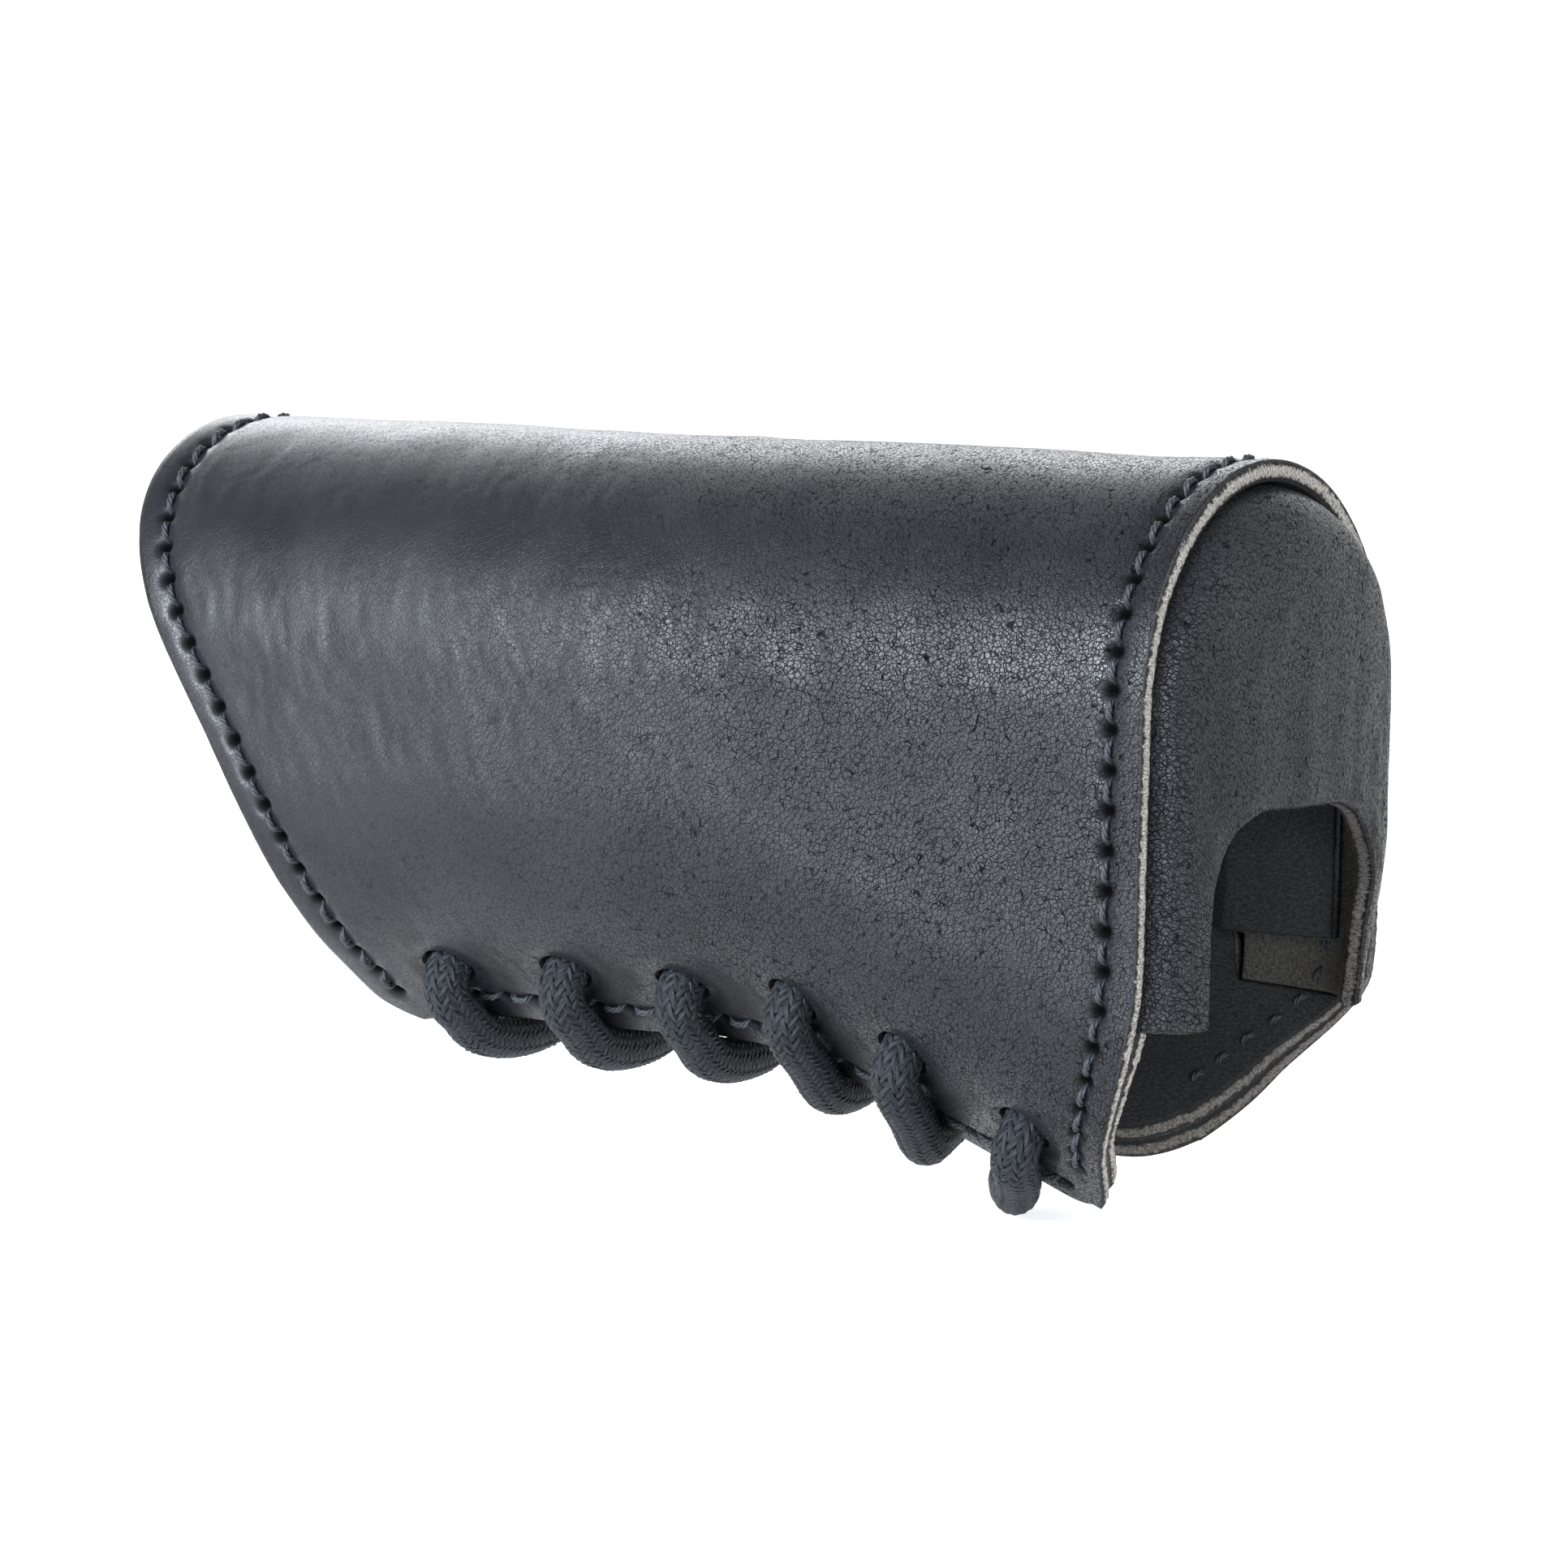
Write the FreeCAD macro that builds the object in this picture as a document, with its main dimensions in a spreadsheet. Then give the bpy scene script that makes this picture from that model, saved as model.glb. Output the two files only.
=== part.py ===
import FreeCAD, Part
import math
import os
from FreeCAD import Vector

# Laced leather grip cover, in millimetres.
# +X points to the capped front, +Y to the side away from the viewer, +Z up.
# The crest is level, and Z = 0 is the lowest point of the lacing.

SIZES = [
    ("half_width", 22.6, "half of the overall width of the leather"),
    ("crest_height", 71.3, "height of the crest"),
    ("leather", 2.0, "thickness of the outer leather"),
    ("layer_gap", 0.1, "air between two leather layers"),
    ("facing", 2.0, "thickness of a facing strip and of the end cap"),
    ("lining", 1.4, "thickness of the crown liner"),
    ("curl_radius", 23.0, "radius of the inward curl below each side"),
    ("curl_angle", 53.0, "angle of that curl, in degrees"),
    ("curl_flat", 11.2, "straight leather after the curl, down to the laced edge"),
    ("seam_height", 13.7, "height of the laced edge along the rear half"),
    ("corner_drop", 1.3, "extra depth of the rear corner, behind the first lace hole"),
    ("corner_start", -35.0, "where the rear corner ends"),
    ("corner_end", -27.0, "where the laced edge is level"),
    ("slope_start", 3.0, "where the laced edge starts to fall to the front"),
    ("slope_full", 15.0, "where it has its full slope"),
    ("slope", 0.36, "fall of the laced edge to the front, per millimetre"),
    ("rim", 57.0, "plane of the front rim"),
    ("rim_fall", 27.3, "height below which the rim runs back to its tip"),
    ("rim_back", 14.6, "how far the rim runs back"),
    ("rim_power", 2.2, "shape of that run"),
    ("rear_foot", -38.0, "rear edge at its foot"),
    ("rear_run", 23.5, "how far the rear edge leans back from foot to crest"),
    ("rear_low", 11.3, "height where the lean starts"),
    ("rear_rise", 58.0, "height over which it leans"),
    ("rear_power", 1.15, "shape of the lean"),
    ("corner_height", 15.8, "top of the rounded rear corner"),
    ("corner_round", 4.0, "how far that corner is rounded forward"),
    ("corner_span", 3.5, "height over which it is rounded"),
    ("corner_reach", 4.2, "depth of the rounded edge below the corner's top"),
    ("far_tip", 4.9, "height of the far side's front tip"),
    ("far_back", 4.4, "how much further back the far side's front edge is cut"),
    ("far_back_top", 23.0, "height where that starts"),
    ("far_back_fall", 11.0, "height over which it grows"),
    ("far_clear", 0.15, "how far the cutting line clears the rim at its top"),
    ("flange", 12.0, "depth of the cap's flange behind the rim"),
    ("cap_bulge", 4.7, "how far the cap stands out of the rim"),
    ("cap_dome", 54.0, "radius of the cap's face, seen from above"),
    ("cap_shoulder", 3.6, "radius of the cap's shoulder"),
    ("leg_end", 20.6, "height of the lower end of the cap's legs"),
    ("notch_half", 14.4, "half width of the notch"),
    ("notch_top", 40.1, "height of the notch"),
    ("notch_round", 9.0, "radius of the notch's upper corners"),
    ("notch_depth", 8.0, "how far behind the rim the notch is cut"),
    ("liner_foot", 26.3, "lower edge of the liner"),
    ("liner_front", 2.6, "liner set back from the rim"),
    ("liner_step", 0.8, "space between the cap's flange and the liner"),
    ("liner_ramp", 5.0, "length over which the liner steps inward"),
    ("facing_top", 26.0, "upper edge of a facing strip behind the flange"),
    ("facing_front", 20.2, "upper edge of a facing strip below the flange"),
    ("cord", 4.4, "diameter of the lacing cord"),
    ("lace_hole", 5.6, "diameter of a lace hole"),
    ("cord_turn", 3.4, "radius of the cord's tight turns"),
    ("cord_bend", 4.4, "radius of the cord's easy turns"),
    ("cord_air", 0.15, "air between cord and leather"),
    ("cord_stand", 0.55, "extra distance of a loop from its hole"),
    ("cord_sag", 0.1, "extra distance of a loop below the laced edges"),
    ("cord_lean", 0.42, "where a loop turns under, between its lowest point and its hole"),
    ("cord_inside", 3.2, "distance of the inside runs from the facing"),
    ("knot", 4.2, "radius of a stopper knot"),
    ("thread", 0.64, "diameter of the sewing thread"),
    ("stitch", 3.6, "length of a stitch"),
    ("stitch_hole", 1.6, "diameter of a needle hole"),
    ("stitch_leg", 1.1, "how far a stitch's ends reach into the leather"),
    ("stitch_turn", 0.4, "radius of a stitch's corners"),
    ("stitch_air", 0.03, "air between a stitch and the leather"),
    ("stitch_sink", 0.45, "depth of the rear bobbin thread below the lining's surface"),
    ("groove", 0.9, "diameter of the groove it lies in"),
    ("groove_sink", 0.4, "depth of the groove's middle"),
    ("front_inset", 3.2, "front seam behind the rim"),
    ("rear_inset", 3.2, "rear seam inside the rear edge"),
    ("edge_inset", 3.6, "edge seam above the laced edge, along the leather"),
]
# Pairs of lace holes, front to back: near x, far x, distance of both from the laced edge,
# and x of the loop midway under the cover.
LACE = [
    ("a", 41.3, 28.0, 12.7, 31.4),
    ("b", 28.8, 19.0, 14.7, 22.9),
    ("c", 16.2, 9.8, 13.8, 13.2),
    ("d", 1.4, -1.4, 9.5, 0.0),
    ("e", -12.2, -14.0, 9.5, -13.2),
    ("f", -26.6, -26.6, 8.6, -26.6),
]

BELOW = -9  # a height under everything

doc = FreeCAD.newDocument("LacedGripCover")
sheet = doc.addObject("Spreadsheet::Sheet", "Sizes")
rows = list(SIZES)
for key, near_x, far_x, inset, low in LACE:
    rows.append((f"lace_near_{key}", near_x, "near lace hole along the cover"))
    rows.append((f"lace_far_{key}", far_x, "far lace hole along the cover"))
    rows.append((f"lace_inset_{key}", inset, "both holes above the laced edge, along the leather"))
    rows.append((f"lace_low_{key}", low, "loop midway under the cover"))
for row, (alias, value, note) in enumerate(rows, start=1):
    sheet.set(f"A{row}", alias)
    sheet.set(f"B{row}", str(value))
    sheet.set(f"C{row}", note)
    sheet.setAlias(f"B{row}", alias)
doc.recompute()


def size(alias):
    return float(sheet.get(alias))


def feature(name, shape):
    """A document object that holds a shape worked out from the sheet."""
    item = doc.addObject("Part::Feature", name)
    item.Shape = shape
    return item


def boolean(kind, name, base, tool):
    item = doc.addObject(kind, name)
    item.Base = base
    item.Tool = tool
    return item


def box(name, low, high):
    """A cutting box between two corners, each coordinate an expression."""
    item = doc.addObject("Part::Box", name)
    for axis, prop, a, b in zip("xyz", ("Length", "Width", "Height"), low, high):
        item.setExpression(f"Placement.Base.{axis}", a)
        item.setExpression(prop, f"({b}) - ({a})")
    return item


# ---- the wrap: one sheet of leather bent over the crest ----

def seam_z(x):
    """Height of the laced edge at x."""
    start, full, slope = size("slope_start"), size("slope_full"), size("slope")
    z = size("seam_height")
    if x > full:
        z -= slope * (x - (start + full) / 2)
    elif x > start:
        z -= slope * (x - start) ** 2 / (2 * (full - start))
    corner = (size("corner_end") - x) / (size("corner_end") - size("corner_start"))
    return z - size("corner_drop") * min(max(corner, 0.0), 1.0)


def curl_top(x):
    """Height where the side starts to curl in."""
    angle = math.radians(size("curl_angle"))
    return seam_z(x) + size("curl_radius") * math.sin(angle) + size("curl_flat") * math.cos(angle)


def outline(x, depth):
    """Edges of the wrap's section from the far foot over the crest to the near foot."""
    angle = math.radians(size("curl_angle"))
    bend = size("curl_radius") - depth
    top = size("half_width") - depth
    axis = size("crest_height") - size("half_width")
    middle = size("half_width") - size("curl_radius")
    spring = curl_top(x)

    def on_curl(turn):
        return middle + bend * math.cos(turn), spring - bend * math.sin(turn)

    end_y, end_z = on_curl(angle)
    foot = (end_y - size("curl_flat") * math.sin(angle), end_z - size("curl_flat") * math.cos(angle))

    def at(point, side):
        return Vector(x, side * point[0], point[1])

    def half(side):
        return [
            Part.LineSegment(at(foot, side), at((end_y, end_z), side)),
            Part.Arc(at((end_y, end_z), side), at(on_curl(angle / 2), side), at((top, spring), side)),
            Part.LineSegment(at((top, spring), side), at((top, axis), side)),
        ]

    arch = Part.Arc(at((top, axis), 1), Vector(x, 0, axis + top), at((top, axis), -1))
    edges = [curve.toShape() for curve in half(1) + [arch] + half(-1)[::-1]]
    return edges, at(foot, 1), at(foot, -1)


def band(x, outer, inner):
    """Closed section of one leather layer between two depths."""
    over, far_out, near_out = outline(x, outer)
    under, far_in, near_in = outline(x, inner)
    ends = [Part.makeLine(far_out, far_in), Part.makeLine(near_out, near_in)]
    return Part.Wire(Part.__sortEdges__(over + under + ends))


def closed(x, depth):
    """Closed section of everything inside one depth."""
    edges, far, near = outline(x, depth)
    return Part.Wire(Part.__sortEdges__(edges + [Part.makeLine(far, near)]))


STATIONS = ["rear", "corner_start", "corner_end", "slope_start", "slope_mid", "slope_full", "front"]


def station(name):
    if name == "rear":
        return size("rear_foot") - size("rear_run") - 1.5
    if name == "slope_mid":
        return (size("slope_start") + size("slope_full")) / 2
    if name == "front":
        return size("rim") + size("cap_bulge") + 2
    return size(name)


def loft(name, sections):
    item = doc.addObject("Part::Loft", name)
    item.Sections = [feature(f"{name}_section_{i}", wire) for i, wire in enumerate(sections)]
    item.Solid = True
    item.Ruled = True
    return item


def layer(name, outer, inner):
    return loft(name, [band(station(s), outer, inner) for s in STATIONS])


# ---- edges of the cover in side view ----

def rim_x(z):
    fall = min(max((size("rim_fall") - z) / size("rim_fall"), 0.0), 1.0)
    return size("rim") - size("rim_back") * fall ** size("rim_power")


def far_rim_x(z):
    grown = min(max((size("far_back_top") - z) / size("far_back_fall"), 0.0), 1.0)
    return rim_x(z) - size("far_back") * grown ** 2 * (3 - 2 * grown)


def rear_x(z):
    lean = min(max((z - size("rear_low")) / size("rear_rise"), 0.0), 1.0) ** size("rear_power")
    x = size("rear_foot") - size("rear_run") * lean ** 2 * (3 - 2 * lean)
    rounding = min(max((size("corner_height") - z) / size("corner_span"), 0.0), 1.2)
    return x + size("corner_round") * rounding ** 2.5


def side_form():
    """Everything between the rear edge and the front rim, seen from the side."""
    top, fall = size("crest_height") + 4, size("rim_fall")
    bend = size("rear_low") + size("rear_rise")
    wide = 2 * size("half_width")

    def at(x, z):
        return Vector(x, -wide / 2, z)

    def curve(points):
        spline = Part.BSplineCurve()
        spline.interpolate(points)
        return spline.toShape()

    front = [at(rim_x(fall * (1 - i / 8)), fall * (1 - i / 8)) for i in range(9)]
    low, reach = size("corner_height"), size("corner_reach")
    rear = [at(rear_x(low + (bend - low) * i / 8), low + (bend - low) * i / 8) for i in range(9)]
    corner = [at(rear_x(low - reach * i / 4), low - reach * i / 4) for i in range(5)]
    edges = [
        Part.makeLine(at(rear[-1].x, top), at(size("rim"), top)),
        Part.makeLine(at(size("rim"), top), front[0]),
        curve(front),
        Part.makeLine(front[-1], at(front[-1].x, BELOW)),
        Part.makeLine(at(front[-1].x, BELOW), at(corner[-1].x, BELOW)),
        Part.makeLine(at(corner[-1].x, BELOW), corner[-1]),
        curve(corner[::-1]),
        curve(rear),
        Part.makeLine(rear[-1], at(rear[-1].x, top)),
    ]
    face = Part.Face(Part.Wire(Part.__sortEdges__(edges)))
    profile = feature("side_profile", face)
    form = doc.addObject("Part::Extrusion", "side_form")
    form.Base = profile
    form.DirMode = "Custom"
    form.Dir = Vector(0, 1, 0)
    form.setExpression("LengthFwd", "Sizes.half_width * 2")
    form.Solid = False
    return form


# ---- points on the leather ----

def on_wrap(x, s):
    """Point and outward normal on the outer face, s being the distance from the crest along the section."""
    half, bend = size("half_width"), size("curl_radius")
    axis = size("crest_height") - half
    spring = curl_top(x)
    side = 1 if s >= 0 else -1
    rest = abs(s)
    if rest <= half * math.pi / 2:
        turn = rest / half
        return (Vector(x, side * half * math.sin(turn), axis + half * math.cos(turn)),
                Vector(0, side * math.sin(turn), math.cos(turn)))
    rest -= half * math.pi / 2
    if rest <= axis - spring:
        return Vector(x, side * half, axis - rest), Vector(0, side, 0)
    rest -= axis - spring
    angle = math.radians(size("curl_angle"))
    turn = min(rest / bend, angle)
    y = half - bend + bend * math.cos(turn)
    z = spring - bend * math.sin(turn)
    rest -= bend * turn
    y -= rest * math.sin(turn)
    z -= rest * math.cos(turn)
    return Vector(x, side * y, z), Vector(0, side * math.cos(turn), -math.sin(turn))


def foot_s(x):
    """Distance from the crest to the laced edge."""
    half = size("half_width")
    return (half * math.pi / 2 + size("crest_height") - half - curl_top(x)
            + size("curl_radius") * math.radians(size("curl_angle")) + size("curl_flat"))


def along_edge(s, edge, inset):
    """Point of a seam that follows an edge given as x over height."""
    x = edge(size("crest_height")) + inset
    for _ in range(12):
        point, normal = on_wrap(x, s)
        x = edge(point.z) + inset
    return on_wrap(x, s)


def even(points, pitch):
    """Points and normals one pitch apart along a densely sampled path."""
    total = sum(a[0].distanceToPoint(b[0]) for a, b in zip(points, points[1:]))
    step = total / round(total / pitch)
    picked, walked, target = [points[0]], 0.0, step
    for a, b in zip(points, points[1:]):
        gap = a[0].distanceToPoint(b[0])
        while walked + gap >= target - 1e-6:
            share = (target - walked) / gap
            normal = (a[1] * (1 - share) + b[1] * share).normalize()
            picked.append((a[0] + (b[0] - a[0]) * share, normal))
            target += step
        walked += gap
    return picked


def seam_across(near_edge, far_edge, inset, near_low, far_low):
    """Needle points of a seam over the crest, down to a height on each side."""
    reach = foot_s(near_edge(size("crest_height")) + inset)
    near = [along_edge(reach * 1.25 * (i / 300 - 1), near_edge, inset) for i in range(301)]
    far = [along_edge(reach * 1.25 * i / 300, far_edge, inset) for i in range(1, 301)]
    samples = [p for p in near if p[0].z > near_low] + [p for p in far if p[0].z > far_low]
    return even(samples, size("stitch"))


def seam_along(side, start, end):
    """Needle points of the seam just above a laced edge."""
    samples = []
    for i in range(201):
        x = start + (end - start) * i / 200
        samples.append(on_wrap(x, side * (foot_s(x) - size("edge_inset"))))
    return even(samples, size("stitch"))


# ---- cords and threads ----

def rounded_path(points, radii):
    """Wire of straight runs joined by tangent arcs at the inner corners."""
    edges, start = [], points[0]
    for before, corner, after, radius in zip(points, points[1:], points[2:], radii):
        back = (before - corner).normalize()
        ahead = (after - corner).normalize()
        half = math.acos(max(-1.0, min(1.0, back.dot(ahead)))) / 2
        reach = radius / math.tan(half)
        middle = (back + ahead).normalize()
        a, b = corner + back * reach, corner + ahead * reach
        peak = corner + middle * (radius / math.sin(half) - radius)
        if start.distanceToPoint(a) > 1e-4:
            edges.append(Part.makeLine(start, a))
        edges.append(Part.Arc(a, peak, b).toShape())
        start = b
    edges.append(Part.makeLine(start, points[-1]))
    return Part.Wire(edges)


def tube(path, diameter):
    """Round cord along a path."""
    first = path.Edges[0]
    heading = first.tangentAt(first.FirstParameter)
    ring = Part.Wire(Part.makeCircle(diameter / 2, first.valueAt(first.FirstParameter), heading))
    return path.makePipeShell([ring], True, False)


def stitches(needle_points, surface, rise, sign):
    """Short lengths of thread from needle hole to needle hole, on one face of the leather."""
    solids = []
    spread, leg = size("thread") / 2 + size("stitch_air"), size("stitch_leg")
    for (p, n), (q, m) in zip(needle_points, needle_points[1:]):
        along = (q - p).normalize()
        a = p - n * surface(p) + along * spread
        b = q - m * surface(q) - along * spread
        path = rounded_path(
            [a - n * leg * sign, a + n * rise * sign, b + m * rise * sign, b - m * leg * sign],
            [size("stitch_turn")] * 2)
        solids.append(tube(path, size("thread")))
    return Part.makeCompound(solids)


def pins(points, diameter, deep):
    """Cylinders that punch holes along the normals, from outside the leather through it."""
    outside = 1.5
    return [Part.makeCylinder(diameter / 2, deep + 2, p + n * outside, n * -1) for p, n in points]


def grooves(needle_points, surface):
    """Cylinders that sink the inside of a seam into the leather, each ending inside its needle holes."""
    tools, short = [], 0.5
    for (p, n), (q, m) in zip(needle_points, needle_points[1:]):
        a = p - n * (surface(p) - size("groove_sink"))
        b = q - m * (surface(q) - size("groove_sink"))
        along = (b - a).normalize()
        length = a.distanceToPoint(b) - 2 * short
        tools.append(Part.makeCylinder(size("groove") / 2, length, a + along * short, along))
    return Part.makeCompound(tools)


def inner_face(p):
    """Depth of the innermost layer that a seam goes through."""
    if p.x > size("rim") - size("flange") - 1 or p.z < size("facing_top") + 0.2:
        return cap_inner
    return second + size("lining")


def outer_face(p):
    return 0.0


def lace_points():
    """Corners of the lacing cord, from its first knot to its last, and the lace holes with their axes."""
    corners, radii, holes = [], [], []
    lift = size("cord") / 2 + size("cord_air")
    angle = math.radians(size("curl_angle"))
    under_y = lift * (math.cos(angle) - (1 - math.sin(angle)) * math.tan(angle))
    for key, *_ in LACE:
        low_x = size(f"lace_low_{key}")
        loop = []
        for side, hole_x in ((-1, size(f"lace_near_{key}")), (1, size(f"lace_far_{key}"))):
            hole, out = on_wrap(hole_x, side * (foot_s(hole_x) - size(f"lace_inset_{key}")))
            outer = hole + out * (lift + size("cord_stand"))
            under_x = low_x + (hole_x - low_x) * size("cord_lean")
            foot, _normal = on_wrap(under_x, side * foot_s(under_x))
            under = Vector(under_x, foot.y + side * under_y, foot.z - lift - size("cord_sag"))
            inner = hole - out * (size("leather") + size("facing") + size("cord_inside"))
            holes.append((hole, out))
            loop.append([inner, outer, under])
        near, far = loop
        corners += near + far[::-1]
        turn, bend = size("cord_turn"), size("cord_bend")
        radii += [turn, turn, bend, bend, turn, turn]
    tail = size("leather") + size("facing") + size("knot") + 0.4
    corners[0] = holes[0][0] - holes[0][1] * tail
    corners[-1] = holes[-1][0] - holes[-1][1] * tail
    return corners, radii[1:-1], holes


def far_front_cut():
    """Everything in front of the far side's own front edge, below the cap."""
    top, front = size("far_back_top"), size("rim") + 10
    line = [top + (BELOW - top) * i / 12 for i in range(13)]
    points = [Vector(far_rim_x(z) + size("far_clear") * max(z, 0) / top, 0, z) for z in line]
    spline = Part.BSplineCurve()
    spline.interpolate(points)
    corners = [points[-1], Vector(front, 0, BELOW), Vector(front, 0, top), points[0]]
    edges = [spline.toShape()] + [Part.makeLine(a, b) for a, b in zip(corners, corners[1:])]
    face = Part.Face(Part.Wire(Part.__sortEdges__(edges)))
    return feature("far_front_cut", face.extrude(Vector(0, size("half_width") + 1, 0)))


leather, gap = size("leather"), size("layer_gap")
second = leather + gap
cap_inner = second + size("facing")

form = side_form()
lace_corners, lace_radii, lace_holes = lace_points()
rear_end = seam_z(size("rear_foot")) + 3.0
near_end, far_end = size("rear_low") - 5.0, size("far_tip") + 3.6
front_seam = seam_across(rim_x, far_rim_x, -size("front_inset"), near_end, far_end)
rear_seam = seam_across(rear_x, rear_x, size("rear_inset"), rear_end, rear_end)
near_seam = seam_along(-1, size("rear_foot") + 8.0, size("rim") - 15.5)
far_seam = seam_along(1, size("rear_foot") + 8.0, size("rim") - 19.5)
needle = feature("needle_holes", Part.makeCompound(
    pins(front_seam + rear_seam + near_seam + far_seam, size("stitch_hole"), cap_inner)))
punch = feature("lace_hole_pins", Part.makeCompound(
    [Part.makeCylinder(size("lace_hole") / 2, 14, p + n * 4, n * -1) for p, n in lace_holes]))
sunk = feature("rear_grooves", grooves(rear_seam, inner_face))

far_tip = box("far_tip_cut", ("Sizes.rim - 40", "0", "-10"),
              ("Sizes.rim + 10", "Sizes.half_width", "Sizes.far_tip"))

far_front = far_front_cut()

# outer leather
sheet_layer = layer("outer_layer", 0.0, leather)
shell = boolean("Part::Common", "outer_trimmed", sheet_layer, form)
shell = boolean("Part::Cut", "outer_tip", shell, far_tip)
shell = boolean("Part::Cut", "outer_far_front", shell, far_front)
shell = boolean("Part::Cut", "outer_laced", shell, punch)
shell = boolean("Part::Cut", "outer_shell", shell, needle)

# facing strips under both laced edges
facing = layer("facing_layer", second, second + size("facing"))
facing = boolean("Part::Common", "facing_trimmed", facing, form)
upper = box("facing_above", ("-100", "-50", "Sizes.facing_top"), ("100", "50", "Sizes.crest_height + 10"))
front = box("facing_under_cap", ("Sizes.rim - Sizes.flange - 1", "-50", "Sizes.facing_front"),
            ("100", "50", "Sizes.crest_height + 10"))
for tool in (upper, front, far_tip, far_front, punch, needle, sunk):
    facing = boolean("Part::Cut", f"facing_less_{tool.Name}", facing, tool)
near_half = box("near_half", ("-100", "-50", "-20"), ("100", "0", "100"))
far_half = box("far_half", ("-100", "0", "-20"), ("100", "50", "100"))
near_facing = boolean("Part::Common", "near_facing", facing, near_half)
far_facing = boolean("Part::Common", "far_facing", facing, far_half)

# crown liner, stepped inward to pass inside the cap's flange
step = size("rim") - size("flange")
inner_depth = cap_inner + size("liner_step")
liner_stations = [(station("rear"), second), (size("corner_start"), second), (size("corner_end"), second),
                  (size("slope_start"), second), (station("slope_mid"), second), (size("slope_full"), second),
                  (step - 1.0 - size("liner_ramp"), second), (step - 1.0, inner_depth),
                  (size("rim") - size("liner_front"), inner_depth)]
liner = loft("liner_layer", [band(x, d, d + size("lining")) for x, d in liner_stations])
liner = boolean("Part::Common", "liner_trimmed", liner, form)
below = box("liner_below", ("-100", "-50", "-20"), ("100", "50", "Sizes.liner_foot"))
liner = boolean("Part::Cut", "liner_raised", liner, below)
liner = boolean("Part::Cut", "liner_grooved", liner, sunk)
crown_liner = boolean("Part::Cut", "crown_liner", liner, needle)


def cap_form(name, depth, set_back):
    """Solid cap, before it is hollowed: the space inside the wrap, ended by a domed face."""
    block = loft(f"{name}_block", [closed(station(s), depth) for s in ("slope_full", "front")])
    dome = doc.addObject("Part::Cylinder", f"{name}_dome")
    dome.setExpression("Radius", f"Sizes.cap_dome - {set_back}")
    dome.setExpression("Height", "Sizes.crest_height + 10")
    dome.setExpression("Placement.Base.x", "Sizes.rim + Sizes.cap_bulge - Sizes.cap_dome")
    domed = boolean("Part::Common", f"{name}_domed", block, dome)
    keep = box(f"{name}_keep",
               (f"Sizes.rim - Sizes.flange - {set_back}", "-50", f"Sizes.leg_end - {set_back}"),
               ("100", "50", "100"))
    return boolean("Part::Common", f"{name}_form", domed, keep)


def shoulder(name, base, radius):
    """Rounds the edge between a cap form's face and its arch."""
    doc.recompute()
    item = doc.addObject("Part::Fillet", name)
    item.Base = base
    wanted = []
    for number, edge in enumerate(base.Shape.Edges, start=1):
        bounds = edge.BoundBox
        on_face = bounds.XMin > size("rim") - 2.5
        along_arch = not (abs(bounds.ZMax - bounds.ZMin) < 0.01 and bounds.ZMin < size("leg_end") + 0.01)
        if on_face and along_arch:
            wanted.append((number, radius, radius))
    item.Edges = wanted
    return item


cap_out = shoulder("cap_outside", cap_form("cap_out", second, 0.0), size("cap_shoulder"))
cap_in = shoulder("cap_inside", cap_form("cap_in", cap_inner, size("facing")),
                  size("cap_shoulder") - size("facing") + 0.4)
cap = boolean("Part::Cut", "cap_hollow", cap_out, cap_in)
notch = doc.addObject("Part::Box", "notch_box")
notch.setExpression("Length", "Sizes.notch_depth * 3")
notch.setExpression("Width", "Sizes.notch_half * 2")
notch.setExpression("Height", "Sizes.notch_top - Sizes.leg_end + 10")
notch.setExpression("Placement.Base.x", "Sizes.rim - Sizes.notch_depth")
notch.setExpression("Placement.Base.y", "-Sizes.notch_half")
notch.setExpression("Placement.Base.z", "Sizes.leg_end - 10")
doc.recompute()
notch_tool = doc.addObject("Part::Fillet", "notch_tool")
notch_tool.Base = notch
notch_tool.Edges = [
    (number, size("notch_round"), size("notch_round"))
    for number, edge in enumerate(notch.Shape.Edges, start=1)
    if edge.BoundBox.XLength > 2.9 * size("notch_depth") and edge.BoundBox.ZMin > size("notch_top") - 0.1
]
cap = boolean("Part::Cut", "cap_notched", cap, notch_tool)
end_cap = boolean("Part::Cut", "end_cap", cap, needle)


seams = {"front": front_seam, "rear": rear_seam, "near_edge": near_seam, "far_edge": far_seam}
on_top = size("thread") / 2 + size("stitch_air")
threads = {}
for key, points in seams.items():
    inside = -size("stitch_sink") if key == "rear" else on_top
    threads[f"{key}_needle_thread"] = stitches(points, outer_face, on_top, 1)
    threads[f"{key}_bobbin_thread"] = stitches(points, inner_face, inside, -1)
thread_nodes = {name: feature(name, shape) for name, shape in threads.items()}

spine = rounded_path(lace_corners, lace_radii)
cord = tube(spine, size("cord"))
knots = []
for point in (lace_corners[0], lace_corners[-1]):
    knots.append(Part.makeSphere(size("knot"), point))
lace = cord.fuse(knots)
lace_cord = feature("lace_cord", lace)

NODES = {
    "outer_shell": shell,
    "end_cap": end_cap,
    "crown_liner": crown_liner,
    "near_facing": near_facing,
    "far_facing": far_facing,
    "lace_cord": lace_cord,
}
NODES.update(thread_nodes)

doc.recompute()
for item in doc.Objects:
    if "Invalid" in item.State or "Error" in item.State:
        raise RuntimeError(f"{item.Name} did not recompute: {item.State}")

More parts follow.
